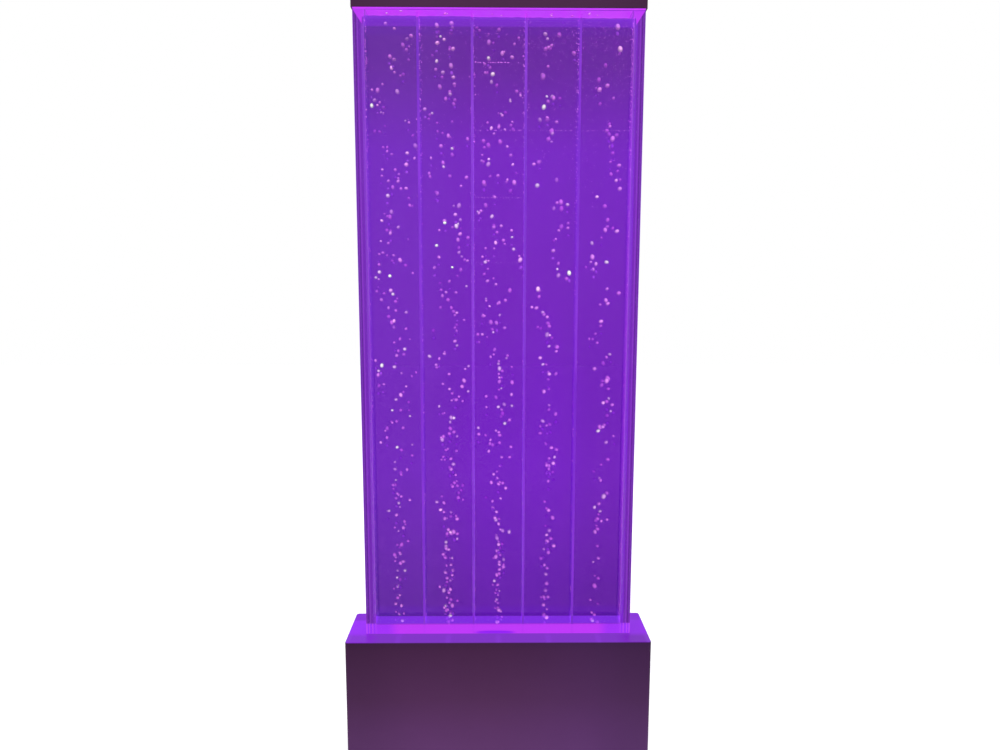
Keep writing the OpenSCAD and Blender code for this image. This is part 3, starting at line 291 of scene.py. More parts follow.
def set_floor():
    mesh = bpy.data.meshes.new("floor")
    half = FLOOR_HALF_WIDTH
    corners = [(-half, -half, 0), (half, -half, 0), (half, half, 0), (-half, half, 0)]
    mesh.from_pydata(corners, [], [(0, 1, 2, 3)])
    floor = bpy.data.objects.new("floor", mesh)
    scene.collection.objects.link(floor)
    s = Shader("floor_white", base=(0.82, 0.82, 0.83, 1.0), rough=0.7, spec=0.1)
    tree = s.tree
    rays = tree.nodes.new("ShaderNodeLightPath")
    lift = tree.nodes.new("ShaderNodeEmission")
    lift.inputs[0].default_value = WHITE
    tree.links.new(s.calc("MULTIPLY", rays.outputs["Is Camera Ray"], FLOOR_LIFT), lift.inputs[1])
    both = tree.nodes.new("ShaderNodeAddShader")
    tree.links.new(s.bsdf.outputs[0], both.inputs[0])
    tree.links.new(lift.outputs[0], both.inputs[1])
    tree.links.new(both.outputs[0], s.out.inputs["Surface"])
    mesh.materials.append(s.material)


set_camera()
set_world(SKY_LEVEL)
for lamp_name, place, aim_height, watts in LAMPS:
    add_lamp(lamp_name, place, aim_height, watts)
set_floor()

# Paint of the base and cap, with painted light on it: the floor's reflection, the room's bluer light, shade
# towards the ends and the tank's light on the deck
# Dark satin paint, its purple partly the tank's light painted in, with a painted reflection of the pale
# floor that makes it lighter towards the bottom
BASE_TONES_WITH_FLOOR_REFLECTION = (
    (0.03, shade(104, 61, 115)), (0.23, shade(97, 55, 106)), (0.50, shade(85, 46, 88)),
    (0.77, shade(76, 39, 78)), (0.93, shade(70, 34, 71)), (1.0, shade(62, 29, 66)),
)
# The cap has one colour, whatever the height that its tones are spread over
CAP_PAINT = shade(71, 38, 69)
CAP_TONES = ((0.0, CAP_PAINT), (1.0, CAP_PAINT))
CAP_TONES_TOP = 2.0
# Painted bluer light of the room, mixed in more towards the right
ROOM_LIGHT_BLUE = (0.07, 0.026, 0.5, 1.0)
BASE_ROOM_LIGHT_SHARE = 0.035
DECK_PAINT = shade(44, 18, 46)
DECK_FRONT = shade(121, 52, 193)
DECK_LEFT_CORNER = shade(127, 29, 209)
DECK_RIGHT_CORNER = shade(112, 21, 184)
DECK_SIDE = shade(146, 21, 243)
DECK_BACK = shade(124, 10, 210)
# Where the light on the deck changes, each from and to, in metres from the middle
LEFT_TO_RIGHT = (-0.05, 0.05)
DECK_REAR = (0.030, 0.045)
DECK_CORNER = (0.29, 0.345)
COLUMN_EDGE = (0.002, 0.011)
COLUMN_SHARE = 0.35


def satin_paint(name, tones, top, room_blue=0.0):
    """Satin housing: colour by height up to top (on the base, a painted reflection of the floor), painted
    bluer room light to the right, painted shade towards the ends, soft mottling, fine orange peel.
    """
    s = Shader(name, spec=0.10)
    blotches = s.noise(9.0, 3.0)
    peel = s.noise(620.0, 2.0)
    tone = s.ramp(s.calc("DIVIDE", s.z, top), *tones)
    # Painted bluer room light towards the right
    tone = s.mix(s.rise(s.x, -0.05, 0.28, 0.0, room_blue), tone, ROOM_LIGHT_BLUE)
    # Painted shade towards both ends, added to the random mottling
    ends = s.rise(s.calc("ABSOLUTE", s.x), 0.18, 0.37, 0.0, 0.17)
    mottled_and_shaded = s.mix(s.calc("ADD", s.calc("MULTIPLY", blotches, 0.10), ends), tone, BLACK)
    s.set(base=mottled_and_shaded, rough=s.rise(blotches, 0.3, 0.7, 0.36, 0.46))
    return s.bump(peel, 0.00003)


def base_paint():
    """The housing's paint, and on its deck the light that the tank throws, weaker towards the front."""
    s = satin_paint("base_paint", BASE_TONES_WITH_FLOOR_REFLECTION, deck_top, BASE_ROOM_LIGHT_SHARE)
    upward = s.rise(s.parts(s.facing)[2], 0.5, 0.9)
    deck = s.calc("MULTIPLY", upward, s.rise(s.z, deck_top - 0.004, deck_top - 0.001))
    aside = s.calc("ABSOLUTE", s.x)
    side = s.rise(aside, -wall_outer - 0.012, -wall_outer + 0.004)
    rear = s.rise(s.y, *DECK_REAR)
    ahead = s.rise(s.y, sheet_front - 0.020, sheet_front + 0.006, 1.0, 0.0)
    streaks = s.noise(22.0, 3.0, (1.0, 0.25, 0.25))
    bright_side = s.mix(s.rise(s.x, *LEFT_TO_RIGHT), DECK_SIDE, scaled(DECK_SIDE, 0.82))
    glow = s.mix(side, s.mix(rear, DECK_FRONT, DECK_BACK), s.mix(rear, bright_side, DECK_BACK))
    glow = s.mix(s.rise(streaks, 0.55, 0.75, 0.0, 0.25), glow, DECK_SIDE)
    corner = s.mix(s.rise(s.x, *LEFT_TO_RIGHT), DECK_LEFT_CORNER, DECK_RIGHT_CORNER)
    glow = s.mix(ahead, glow, s.mix(s.rise(aside, *DECK_CORNER), DECK_FRONT, corner))
    columns = s.rise(s.calc("PINGPONG", s.x, NOZZLE_PITCH / 2), *COLUMN_EDGE, COLUMN_SHARE, 0.0)
    glow = s.mix(s.calc("MULTIPLY", columns, ahead), glow, scaled(DECK_FRONT, 1.3))
    s.set(base=s.mix(deck, s.bsdf.inputs["Base Color"].links[0].from_socket, DECK_PAINT))
    return s.set(glow=s.mix(deck, BLACK, glow), power=1.0)


shell_paint = base_paint()
cap_paint = satin_paint("cap_paint", CAP_TONES, CAP_TONES_TOP)
panel_paint = satin_paint("panel_paint", BASE_TONES_WITH_FLOOR_REFLECTION, deck_top, BASE_ROOM_LIGHT_SHARE)
paint("base_shell", shell_paint)
paint("access_panel", panel_paint)
paint("cap_shell", cap_paint)

# Lit acrylic
WATER_GLOW = (
    (0.07, shade(71, 37, 131)), (0.29, shade(113, 36, 199)), (0.54, shade(123, 45, 205)),
    (0.80, shade(128, 52, 214)), (0.93, shade(97, 56, 140)),
)
WALL_GLOW = (
    (0.07, shade(100, 34, 160)), (0.29, shade(114, 36, 180)),
    (0.80, shade(118, 42, 184)), (0.93, shade(108, 42, 164)),
)
MAGENTA = shade(196, 60, 252)
MAGENTA_END = shade(166, 53, 252)
STREAK = shade(146, 36, 246)
VIOLET = shade(129, 46, 225)
STRIP_LEFT = shade(126, 43, 200)
STRIP_RIGHT = shade(124, 38, 210)
LINE_BLUE = shade(112, 38, 176)
LINE_DARK = shade(90, 28, 140)
LINE_PINK = shade(172, 72, 226)
STRIP_TOP = floor_top + 0.0265
GLOW_TOP = floor_top + 0.0455
SURFACE_BAND = 0.0200
# What the tank's glow is mixed with: on the left, low on the right and low in the middle
GREENER = (0.20, 1.00, 0.60, 1.0)
DIMMER = (0.06, 0.0, 0.25, 1.0)
BLUER = (0.17, 0.0, 1.05, 1.0)
FACING_FROM, FACING_TO = 0.6, 0.8
# The streak in the strip along the floor: its middle and its half widths, across and up
STREAK_MIDDLE = (-0.008, floor_top + 0.0045)
STREAK_SIZE = (0.056, 0.0050)
# In the tank's ends, measured outwards from the water
SLANT_FROM = (0.0030, 0.0045)
SLANT_STEEPNESS = 1.54
BAR_CORNER = (0.0008, 0.0024)
BAR_STRIP_END = (0.0055, 0.0075)
BAR_LINE = (0.0137, 0.0151)
BAR_DARK = (0.0167, 0.0175)
BAR_JOINTS = (0.0005, 0.0087, 0.0175)
JOINT_HALF = 0.0007
SOFT_EDGE = 0.0010
# How deep in the tank the light reaches on the bars' inner faces
INNER_LEFT_REACH = (-0.016, 0.012)
INNER_RIGHT_REACH = (0.0, 0.020)


def by_height(s, colours):
    """The tank's glow by height: dim near the floor and under the surface, brightest high up.

    On the left it is greener, and in the lower part dimmer on the right and bluer in the middle.
    """
    share = s.calc("DIVIDE", s.calc("SUBTRACT", s.z, floor_top), WATER_TOP - floor_top)
    tone = s.ramp(share, *colours)
    tone = s.mix(s.rise(s.x, -0.20, -0.05, 0.016, 0.0), tone, GREENER)
    low = s.rise(share, 0.35, 0.65, 0.13, 0.0)
    tone = s.mix(s.calc("MULTIPLY", s.rise(s.x, 0.05, 0.28), low), tone, DIMMER)
    middle = s.rise(s.calc("ABSOLUTE", s.calc("ADD", s.x, -0.05)), 0.06, 0.22, 1.0, 0.0)
    return s.mix(s.calc("MULTIPLY", middle, low), tone, BLUER)


def lit(name, **inputs):
    """Acrylic that carries the lamps' light: it glows by itself and hardly shows the room."""
    s = Shader(name, rough=0.08, spec=0.07, base=(0.012, 0.003, 0.020, 1.0), power=1.0, **inputs)
    s.material.cycles.emission_sampling = "NONE"
    return s


def foot_light(s, glow):
    """Over glow, the bright strip along the tank's floor, and where that strip is.

    The strip is violet towards the ends and has a weaker streak near the middle.
    """
    near_end = s.rise(s.calc("ABSOLUTE", s.x), 0.250, 0.285)
    strip = s.mix(near_end, MAGENTA, MAGENTA_END)
    along = s.calc("DIVIDE", s.calc("SUBTRACT", s.x, STREAK_MIDDLE[0]), STREAK_SIZE[0])
    across = s.calc("DIVIDE", s.calc("SUBTRACT", s.z, STREAK_MIDDLE[1]), STREAK_SIZE[1])
    off = s.calc("ADD", s.calc("MULTIPLY", along, along), s.calc("MULTIPLY", across, across))
    strip = s.mix(s.rise(off, 0.5, 1.1, 1.0, 0.0), strip, STREAK)
    lower = s.rise(s.z, STRIP_TOP - 0.0015, STRIP_TOP + 0.0015, 1.0, 0.0)
    return s.mix(lower, glow, strip), lower


def sheet_acrylic(name, foot_alpha):
    """A clear cast sheet: nearly invisible faces, bright cut edges, and light gathered at its foot."""
    s = lit(name)
    parts = s.parts(s.facing)
    face = s.rise(s.calc("ABSOLUTE", parts[1]), FACING_FROM, FACING_TO)
    upper_edge = s.rise(parts[2], FACING_FROM, FACING_TO)
    cloud = s.noise(6.0, 3.0)
    body, lower = foot_light(s, by_height(s, WATER_GLOW))
    edges = s.mix(upper_edge, s.mix(s.rise(cloud, 0.4, 0.6), STRIP_LEFT, LINE_PINK), scaled(MAGENTA, 1.25))
    s.set(glow=s.mix(face, edges, body))
    over_water = s.rise(s.calc("ABSOLUTE", s.x), -wall_inner - 0.001, -wall_inner + 0.001, 1.0, 0.35)
    foot = s.calc("MULTIPLY", s.calc("MULTIPLY", lower, foot_alpha), over_water)
    clear = s.calc("ADD", s.rise(cloud, 0.3, 0.7, 0.055, 0.085), foot)
    cut_edge = s.calc("MULTIPLY", s.calc("SUBTRACT", 1.0, face), 0.9)
    return s.set(alpha=s.calc("ADD", s.calc("MULTIPLY", face, clear), cut_edge))


def beside(s):
    """How far a point lies beside the water."""
    return s.calc("ADD", s.calc("ABSOLUTE", s.x), wall_inner)


def ends_light(s, glow):
    """Over glow, the panel's light in what stands above the water, cut off on a slant towards the end."""
    aside = beside(s)
    slanted = s.rise(aside, *SLANT_FROM)
    drop = s.calc("MULTIPLY", s.calc("SUBTRACT", END_WIDTH, aside), SLANT_STEEPNESS)
    over = s.calc("SUBTRACT", panel_under - WATER_TOP, drop)
    line = s.calc("ADD", s.calc("MULTIPLY", slanted, over), WATER_TOP)
    above = s.calc("SUBTRACT", s.z, line)
    return s.mix(s.rise(above, -0.001, 0.002), glow, MAGENTA)


def foot_violet(s, glow, share, lines):
    """Over glow, the violet light low in the tank's ends, and pink lines on their joints."""
    aside = beside(s)
    violet = shade(150, 52, 250)
    for place in lines:
        joint = s.stripe(aside, place - JOINT_HALF, place + JOINT_HALF, SOFT_EDGE)
        violet = s.mix(joint, violet, shade(206, 88, 250))
    return s.mix(s.rise(s.z, STRIP_TOP - 0.002, STRIP_TOP + 0.002, share, 0.0), glow, violet)


def end_wall_acrylic():
    s = lit("end_wall_acrylic")
    side = s.rise(s.calc("ABSOLUTE", s.parts(s.facing)[0]), FACING_FROM, FACING_TO)
    aside = s.calc("ABSOLUTE", s.x)
    middle = (wall_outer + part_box("left_end_wall")[1].x) / -2
    rib = s.calc("ABSOLUTE", s.calc("SUBTRACT", aside, middle))
    cloud = s.noise(8.0, 3.0, (1.0, 1.0, 0.3))
    walls = by_height(s, WALL_GLOW)
    end_glow = s.mix(s.rise(rib, 0.0004, 0.0022), shade(118, 44, 176), LINE_DARK)
    flat_glow = s.mix(s.rise(cloud, 0.35, 0.65, 0.0, 0.6), walls, LINE_BLUE)
    glow = foot_violet(s, s.mix(side, end_glow, flat_glow), 0.9, (END_WIDTH - 0.0010,))
    return s.set(glow=ends_light(s, glow), alpha=0.92)


def edge_bar_acrylic():
    """The clear bar beside the water: fine lines at its joints and a brighter strip towards the water.

    The right bar's light line lies on its inner face, and the left bar's partly on its front.
    """
    s = lit("edge_bar_acrylic")
    aside = beside(s)
    front = s.rise(s.calc("ABSOLUTE", s.parts(s.facing)[1]), FACING_FROM, FACING_TO)
    cloud = s.noise(14.0, 3.0, (1.0, 1.0, 0.25))
    right = s.rise(s.x, -0.1, 0.1)
    strip = s.mix(right, STRIP_LEFT, STRIP_RIGHT)
    strip = s.mix(s.rise(cloud, 0.4, 0.65), strip, scaled(STRIP_LEFT, 0.94))
    corner = s.rise(aside, *BAR_CORNER, 1.0, 0.0)
    strip = s.mix(s.calc("MULTIPLY", corner, s.rise(right, 0.0, 1.0, 0.35, 0.15)), strip, LINE_PINK)
    strip_end = s.calc("SUBTRACT", aside, s.calc("MULTIPLY", right, 0.0015))
    glow = s.mix(s.rise(strip_end, *BAR_STRIP_END), strip, LINE_BLUE)
    glow = s.mix(s.stripe(aside, *BAR_LINE, SOFT_EDGE), glow, shade(136, 56, 192))
    glow = s.mix(s.rise(aside, *BAR_DARK), glow, LINE_DARK)
    glow = foot_violet(s, glow, 0.9, BAR_JOINTS)
    walls = by_height(s, WALL_GLOW)
    inner_left = s.mix(s.rise(s.y, *INNER_LEFT_REACH, 1.0, 0.0), walls, STRIP_LEFT)
    inner_right = s.mix(s.rise(s.y, *INNER_RIGHT_REACH, 1.0, 0.0), walls, scaled(LINE_PINK, 1.2))
    inner = s.mix(right, inner_left, inner_right)
    return s.set(glow=ends_light(s, s.mix(front, inner, glow)), alpha=0.93)


def divider_acrylic():
    """The dividers' faces fade into the water, and their front edges show as soft, uneven stripes."""
    s = lit("divider_acrylic")
    front = s.rise(s.calc("ABSOLUTE", s.parts(s.facing)[1]), FACING_FROM, FACING_TO)
    cloud = s.noise(5.0, 2.0)
    edge_glow = s.mix(s.rise(cloud, 0.35, 0.65), shade(115, 41, 196), shade(134, 51, 211))
    side_glow = s.mix(s.rise(cloud, 0.35, 0.65), shade(114, 38, 192), shade(122, 42, 204))
    above = s.rise(s.z, WATER_TOP - 0.001, WATER_TOP + 0.002)
    return s.set(glow=s.mix(above, s.mix(front, side_glow, edge_glow), MAGENTA), alpha=0.95)


def floor_acrylic():
    s = lit("floor_acrylic")
    upward = s.rise(s.parts(s.facing)[2], 0.5, 0.8)
    top_glow = s.mix(s.rise(s.lamp_row(), 0.2, 1.0, 0.0, 0.3), scaled(MAGENTA, 1.5), scaled(MAGENTA, 1.15))
    return s.set(glow=s.mix(upward, VIOLET, top_glow), alpha=0.92)


sheet_look = sheet_acrylic("sheet_acrylic", 0.62)
paint("front_sheet", sheet_look)
paint("back_sheet", sheet_look)
wall_look = end_wall_acrylic()
bar_look = edge_bar_acrylic()
divider_look = divider_acrylic()
for side in ("left", "right"):
    paint(side + "_end_wall", wall_look)
    paint(side + "_edge_bar", bar_look)
for number in (1, 2, 3, 4):
    paint("divider_%d" % number, divider_look)
paint("tank_floor", floor_acrylic())


def panel_light():
    """Opal diffuser under the cap, lit from above by a row of lights, a little pinker towards its ends."""
    s = Shader("panel_light", base=(0.14, 0.05, 0.18, 1.0), rough=0.4, spec=0.15, power=1.0)
    s.material.cycles.emission_sampling = "NONE"
    cloud = s.noise(12.0, 2.0)
    tone = s.mix(s.rise(s.calc("ABSOLUTE", s.x), 0.08, 0.28), shade(192, 44, 250), shade(202, 48, 248))
    even = s.mix(s.rise(s.lamp_row(), 0.0, 1.0, 0.0, 0.25), tone, shade(184, 42, 244))
    return s.set(glow=s.mix(s.rise(cloud, 0.4, 0.7, 0.0, 0.25), even, shade(180, 40, 242)))


def tongue_acrylic():
    s = lit("tongue_acrylic")
    return s.set(glow=s.mix(s.noise(30.0), STRIP_LEFT, LINE_PINK), alpha=0.6)


def led_board(name, gain):
    """White board with a row of lit magenta chips."""
    s = Shader(name, rough=0.45, spec=0.4, power=1.0)
    s.material.cycles.emission_sampling = "NONE"
    chip = s.rise(s.lamp_row(), 0.10, 0.26, 1.0, 0.0)
    s.set(base=s.mix(s.noise(60.0), (0.80, 0.80, 0.78, 1.0), (0.88, 0.88, 0.86, 1.0)),
          glow=s.mix(chip, shade(70, 20, 90), shade(235, 120, 255, gain)))
    return s.bump(s.noise(1500.0), 0.00002)


paint("cap_light_panel", panel_light())
paint("cap_tongues", tongue_acrylic())
strip_look = led_board("led_board", 1.2)
paint("cap_light_strip", strip_look)
paint("lower_light_strips", strip_look)

# Metals, plastics and rubber
aluminium = solid("aluminium", (0.72, 0.73, 0.75), 0.34, 1.0, 0.5, 500.0, 0.00002, 0.06, (0.03, 1.0, 1.0))
steel = solid("zinc_steel", (0.56, 0.57, 0.60), 0.38, 1.0, 0.5, 260.0, 0.00002, 0.14)
black_rubber = solid("black_rubber", (0.030, 0.030, 0.033), 0.78, 0.0, 0.25, 1100.0, 0.00006, 0.2)
brass = solid("brass", (0.72, 0.52, 0.22), 0.30, 1.0, 0.5, 900.0, 0.00001, 0.06)
white_plastic = solid("white_plastic", (0.80, 0.80, 0.78), 0.42, 0.0, 0.35, 800.0, 0.00003, 0.05)
black_plastic = solid("black_plastic", (0.035, 0.035, 0.039), 0.48, 0.0, 0.3, 1000.0, 0.00005, 0.2)
silicone = solid("milky_silicone", (0.74, 0.78, 0.80), 0.36, 0.0, 0.3, 300.0, 0.00003, 0.06)
red_plastic = solid("red_plastic", (0.50, 0.025, 0.022), 0.36, 0.0, 0.35, 800.0, 0.00003, 0.1)
lead_sheath = solid("lead_sheath", (0.70, 0.68, 0.72), 0.45, 0.0, 0.3, 900.0, 0.00003, 0.06)


def lit_seal():
    """The black seal round the tank's foot, with the tank's light soaking its top."""
    s = solid("lit_seal", (0.030, 0.030, 0.033), 0.7, 0.0, 0.25, 1100.0, 0.00006, 0.2)
    return s.set(glow=s.mix(s.rise(s.z, deck_top - 0.006, deck_top - 0.001), BLACK, DECK_FRONT), power=0.9)


for look, names in (
    (steel, "bottom_plate bottom_plate_screws tank_cradle cradle_legs cradle_bolts manifold_bracket"),
    (steel, "cap_screws"),
    (aluminium, "lower_light_channels cap_light_channel"),
    (black_rubber, "rubber_feet tank_pads pump_feet"),
    (brass, "air_nozzles drain_fitting drain_valve drain_nut"),
    (white_plastic, "check_valves air_manifold cap_plug cap_socket"),
    (black_plastic, "access_panel_screws pump_tub pump_cover light_controller wiring power_inlet"),
    (black_plastic, "switch_frame"),
    (silicone, "air_tubes pump_tube drain_pipe"),
    (red_plastic, "air_lever_1 air_lever_2 air_lever_3 air_lever_4 air_lever_5 drain_lever switch_rocker"),
    (lead_sheath, "cap_lead"),
    (lit_seal(), "deck_seal"),
):
    for name in names.split():
        paint(name, look)


# Water
WATER_TINT = (0.65, 0.35, 0.75, 1.0)
WATER_DENSITY = 100.0
WATER_SHINE = (0.361, 0.020, 1.0, 1.0)
WATER_SHINE_STRENGTH = 8.25
UNDER_SURFACE = (0.299, 0.054, 0.867, 1.0)
OVER_STRIP = (0.400, 0.066, 1.400, 1.0)


def water_look():
    """Lit water: a thin tint on its faces, and depth that swallows the far side in purple."""
    s = Shader("lit_water", rough=0.05, spec=0.08, base=(0.01, 0.003, 0.02, 1.0), power=1.0)
    s.material.cycles.emission_sampling = "NONE"
    upward = s.rise(s.parts(s.facing)[2], 0.5, 0.8)
    ripple = s.noise(60.0, 3.0)
    streaks = s.noise(40.0, 2.0, (1.0, 1.0, 0.012))
    cloud = s.calc("ADD", s.calc("MULTIPLY", s.noise(5.0, 2.0), 0.6), s.calc("MULTIPLY", streaks, 0.4))
    body = by_height(s, WATER_GLOW)
    tone = s.mix(s.rise(cloud, 0.40, 0.62, 0.0, 0.16), body, WATER_GLOW[0][1])
    band_foot = WATER_TOP - SURFACE_BAND
    under = s.rise(s.z, band_foot - 0.0025, band_foot + 0.0025)
    over_strip = s.stripe(s.z, STRIP_TOP, GLOW_TOP, 0.0016)
    tone = s.mix(under, tone, UNDER_SURFACE)
    tone = s.mix(over_strip, tone, OVER_STRIP)
    top = s.mix(s.rise(ripple, 0.4, 0.6), shade(118, 44, 192), shade(138, 52, 214))
    band = s.calc("MULTIPLY", s.calc("MAXIMUM", under, over_strip), 0.10)
    thin = s.calc("ADD", 0.30, band)
    s.set(glow=s.mix(upward, tone, top), alpha=s.calc("MAXIMUM", thin, s.calc("MULTIPLY", upward, 0.85)))
    s.bump(ripple, 0.0004)
    tree = s.tree
    absorb = tree.nodes.new("ShaderNodeVolumeAbsorption")
    absorb.inputs["Color"].default_value = WATER_TINT
    absorb.inputs["Density"].default_value = WATER_DENSITY
    shine = tree.nodes.new("ShaderNodeEmission")
    shine.inputs["Color"].default_value = WATER_SHINE
    shine.inputs["Strength"].default_value = WATER_SHINE_STRENGTH
    both = tree.nodes.new("ShaderNodeAddShader")
    tree.links.new(absorb.outputs[0], both.inputs[0])
    tree.links.new(shine.outputs[0], both.inputs[1])
    tree.links.new(both.outputs[0], s.out.inputs["Volume"])
    return s


def new_piece(name, mesh, look):
    """A piece of what the tank holds: it belongs to the wall and has one material."""
    mesh.materials.append(look.material)
    piece = bpy.data.objects.new(name, mesh)
    scene.collection.objects.link(piece)
    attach(piece, "wall")


def water_block(name, left, right, top_z, look):
    """A chamber's water: upright faces, and a surface that creeps up the walls and swells mid-chamber."""
    columns, rows = 40, 14
    back = -sheet_inner - WATER_GAP
    bm = bmesh.new()
    top = []
    for row in range(rows + 1):
        y = -back + 2 * back * row / rows
        line = []
        for column in range(columns + 1):
            x = left + (right - left) * column / columns
            wall = min(x - left, right - x, y + back, back - y)
            creep = 0.0012 * math.exp(-wall / 0.002)
            middle = ((x - (left + right) / 2) / 0.022) ** 2 + (y / 0.014) ** 2
            waves = 0.0005 * math.sin(x * 190.0) * math.sin(y * 260.0 + x * 60.0)
            swell = 0.0011 * math.exp(-middle) + waves
            line.append(bm.verts.new((x, y, top_z + creep + swell)))
        top.append(line)
    rim = [top[0][c] for c in range(columns + 1)] + [top[r][columns] for r in range(1, rows + 1)]
    rim += [top[rows][c] for c in range(columns - 1, -1, -1)] + [top[r][0] for r in range(rows - 1, 0, -1)]
    foot = [bm.verts.new((v.co.x, v.co.y, WATER_BOTTOM)) for v in rim]
    for r in range(rows):
        for c in range(columns):
            bm.faces.new((top[r][c], top[r][c + 1], top[r + 1][c + 1], top[r + 1][c]))
    for i in range(len(rim)):
        j = (i + 1) % len(rim)
        bm.faces.new((rim[i], foot[i], foot[j], rim[j]))
    bm.faces.new(foot[::-1])
    bmesh.ops.recalc_face_normals(bm, faces=bm.faces)
    mesh = bpy.data.meshes.new(name)
    bm.normal_update()
    bm.to_mesh(mesh)
    bm.free()
    new_piece(name, mesh, look)
    for face in mesh.polygons:
        face.use_smooth = face.normal.z > 0.3


water = water_look()
for number, ((left, right), lift) in enumerate(zip(CHAMBERS, WATER_LIFTS), 1):
    water_block("water_%d" % number, left + WATER_GAP, right - WATER_GAP, WATER_TOP + lift, water)


# Bubbles
def bubble_look(name, rim_gain, core_gain):
    """An air bubble, a bright core before and behind where it gathers the light, dimmer round its rim."""
    s = Shader(name, rough=0.1, spec=0.12, base=(0.08, 0.015, 0.12, 1.0), power=1.0)
    s.material.cycles.emission_sampling = "NONE"
    tint = s.tree.nodes.new("ShaderNodeAttribute")
    tint.attribute_name = "tint"
    ahead, upward = s.parts(s.facing)[1:]
    core = s.calc("ADD", s.calc("ABSOLUTE", ahead), s.calc("MULTIPLY", upward, 0.22))
    lift = s.rise(core, 0.48, 1.04, rim_gain, core_gain)
    bright = s.tree.nodes.new("ShaderNodeVectorMath")
    bright.operation = "SCALE"
    s.plug(bright.inputs[0], tint.outputs["Color"])
    s.plug(bright.inputs["Scale"], lift)
    return s.set(glow=bright.outputs[0])


def ball(subdivisions):
    bm = bmesh.new()
    bmesh.ops.create_icosphere(bm, subdivisions=subdivisions, radius=1.0)
    points = [v.co.copy() for v in bm.verts]
    faces = [[v.index for v in f.verts] for f in bm.faces]
    bm.free()
    return points, faces


BALLS = {"fine": ball(1), "small": ball(2), "large": ball(3)}


class Swarm:
    """Many bubbles gathered in one mesh, each with its own tint."""

    def __init__(self):
        self.points, self.faces, self.tints = [], [], []

    def add(self, place, size, tint, shape="small", squash=0.82, tilt=0.0, turn=0.0, wobble=0.0, flat=1.0):
        points, faces = BALLS[shape]
        first = len(self.points)
        spin = Matrix.Rotation(tilt, 3, "Y") @ Matrix.Rotation(turn, 3, "Z")
        for p in points:
            bulge = 1.0 + wobble * p.x * p.z
            v = spin @ Vector((p.x * bulge, p.y, p.z * squash))
            self.points.append((place[0] + v.x * size, place[1] + v.y * size * flat, place[2] + v.z * size))
            self.tints.append(tint)
        self.faces.extend([[first + i for i in face] for face in faces])

    def piece(self, name, look):
        mesh = bpy.data.meshes.new(name)
        mesh.from_pydata(self.points, [], self.faces)
        colours = mesh.color_attributes.new("tint", "FLOAT_COLOR", "POINT")
        for i, tint in enumerate(self.tints):
            colours.data[i].color = tint
        for face in mesh.polygons:
            face.use_smooth = True
        new_piece(name, mesh, look)


# For each chamber: puffs of bubbles, the most in one, their spread high up, sway, drift and size in metres
STREAMS = (
    {"puffs": 94, "most": 3, "spread": 0.040, "sway": 0.006, "drift": -0.002, "size": 0.0045},
    {"puffs": 108, "most": 3, "spread": 0.036, "sway": 0.007, "drift": 0.003, "size": 0.0047},
    {"puffs": 106, "most": 3, "spread": 0.033, "sway": 0.006, "drift": 0.000, "size": 0.0047},
    {"puffs": 50, "most": 4, "spread": 0.017, "sway": 0.011, "drift": -0.003, "size": 0.0053},
    {"puffs": 40, "most": 4, "spread": 0.013, "sway": 0.010, "drift": 0.010, "size": 0.0052},
)
# Shares of the bubbles up to which each light holds, from the brightest to the dimmest
TINTS = (
    (0.07, (1.75, 2.40, 1.30)),
    (0.20, (1.65, 1.62, 1.36)),
    (0.46, (1.68, 1.02, 1.44)),
    (0.78, (1.62, 0.80, 1.44)),
    (1.00, (1.05, 0.46, 1.10)),
)
GHOST_TINT = (0.42, 0.09, 0.84, 1.0)
MICRO_TINT = (1.05, 0.28, 1.10, 1.0)
DEPTH_LIMIT = -sheet_inner - 0.008
STREAM_SEED = 4100
FINE_SEED = 5200
ECHO_CHANCE = 0.24
LOWEST_BUBBLE = floor_top + 0.012
HIGHEST_BUBBLE = WATER_TOP - 0.006
WALL_ROOM = 0.008
# Above 1, the puffs stand a little closer together near the floor
PUFF_CROWDING = 1.08
# An echo hangs this far in front of and below its bubble
ECHO_AHEAD, ECHO_BELOW = 0.006, 0.019


def pick_tint(dice):
    roll = dice.random()
    for share, tint in TINTS:
        if roll <= share:
            return tint + (1.0,)
    return TINTS[-1][1] + (1.0,)


def held(value, limit):
    """The value, turned back where it would pass the limit on either side."""
    if abs(value) > limit:
        value = math.copysign(2 * limit - abs(value), value)
    return max(-limit, min(limit, value))


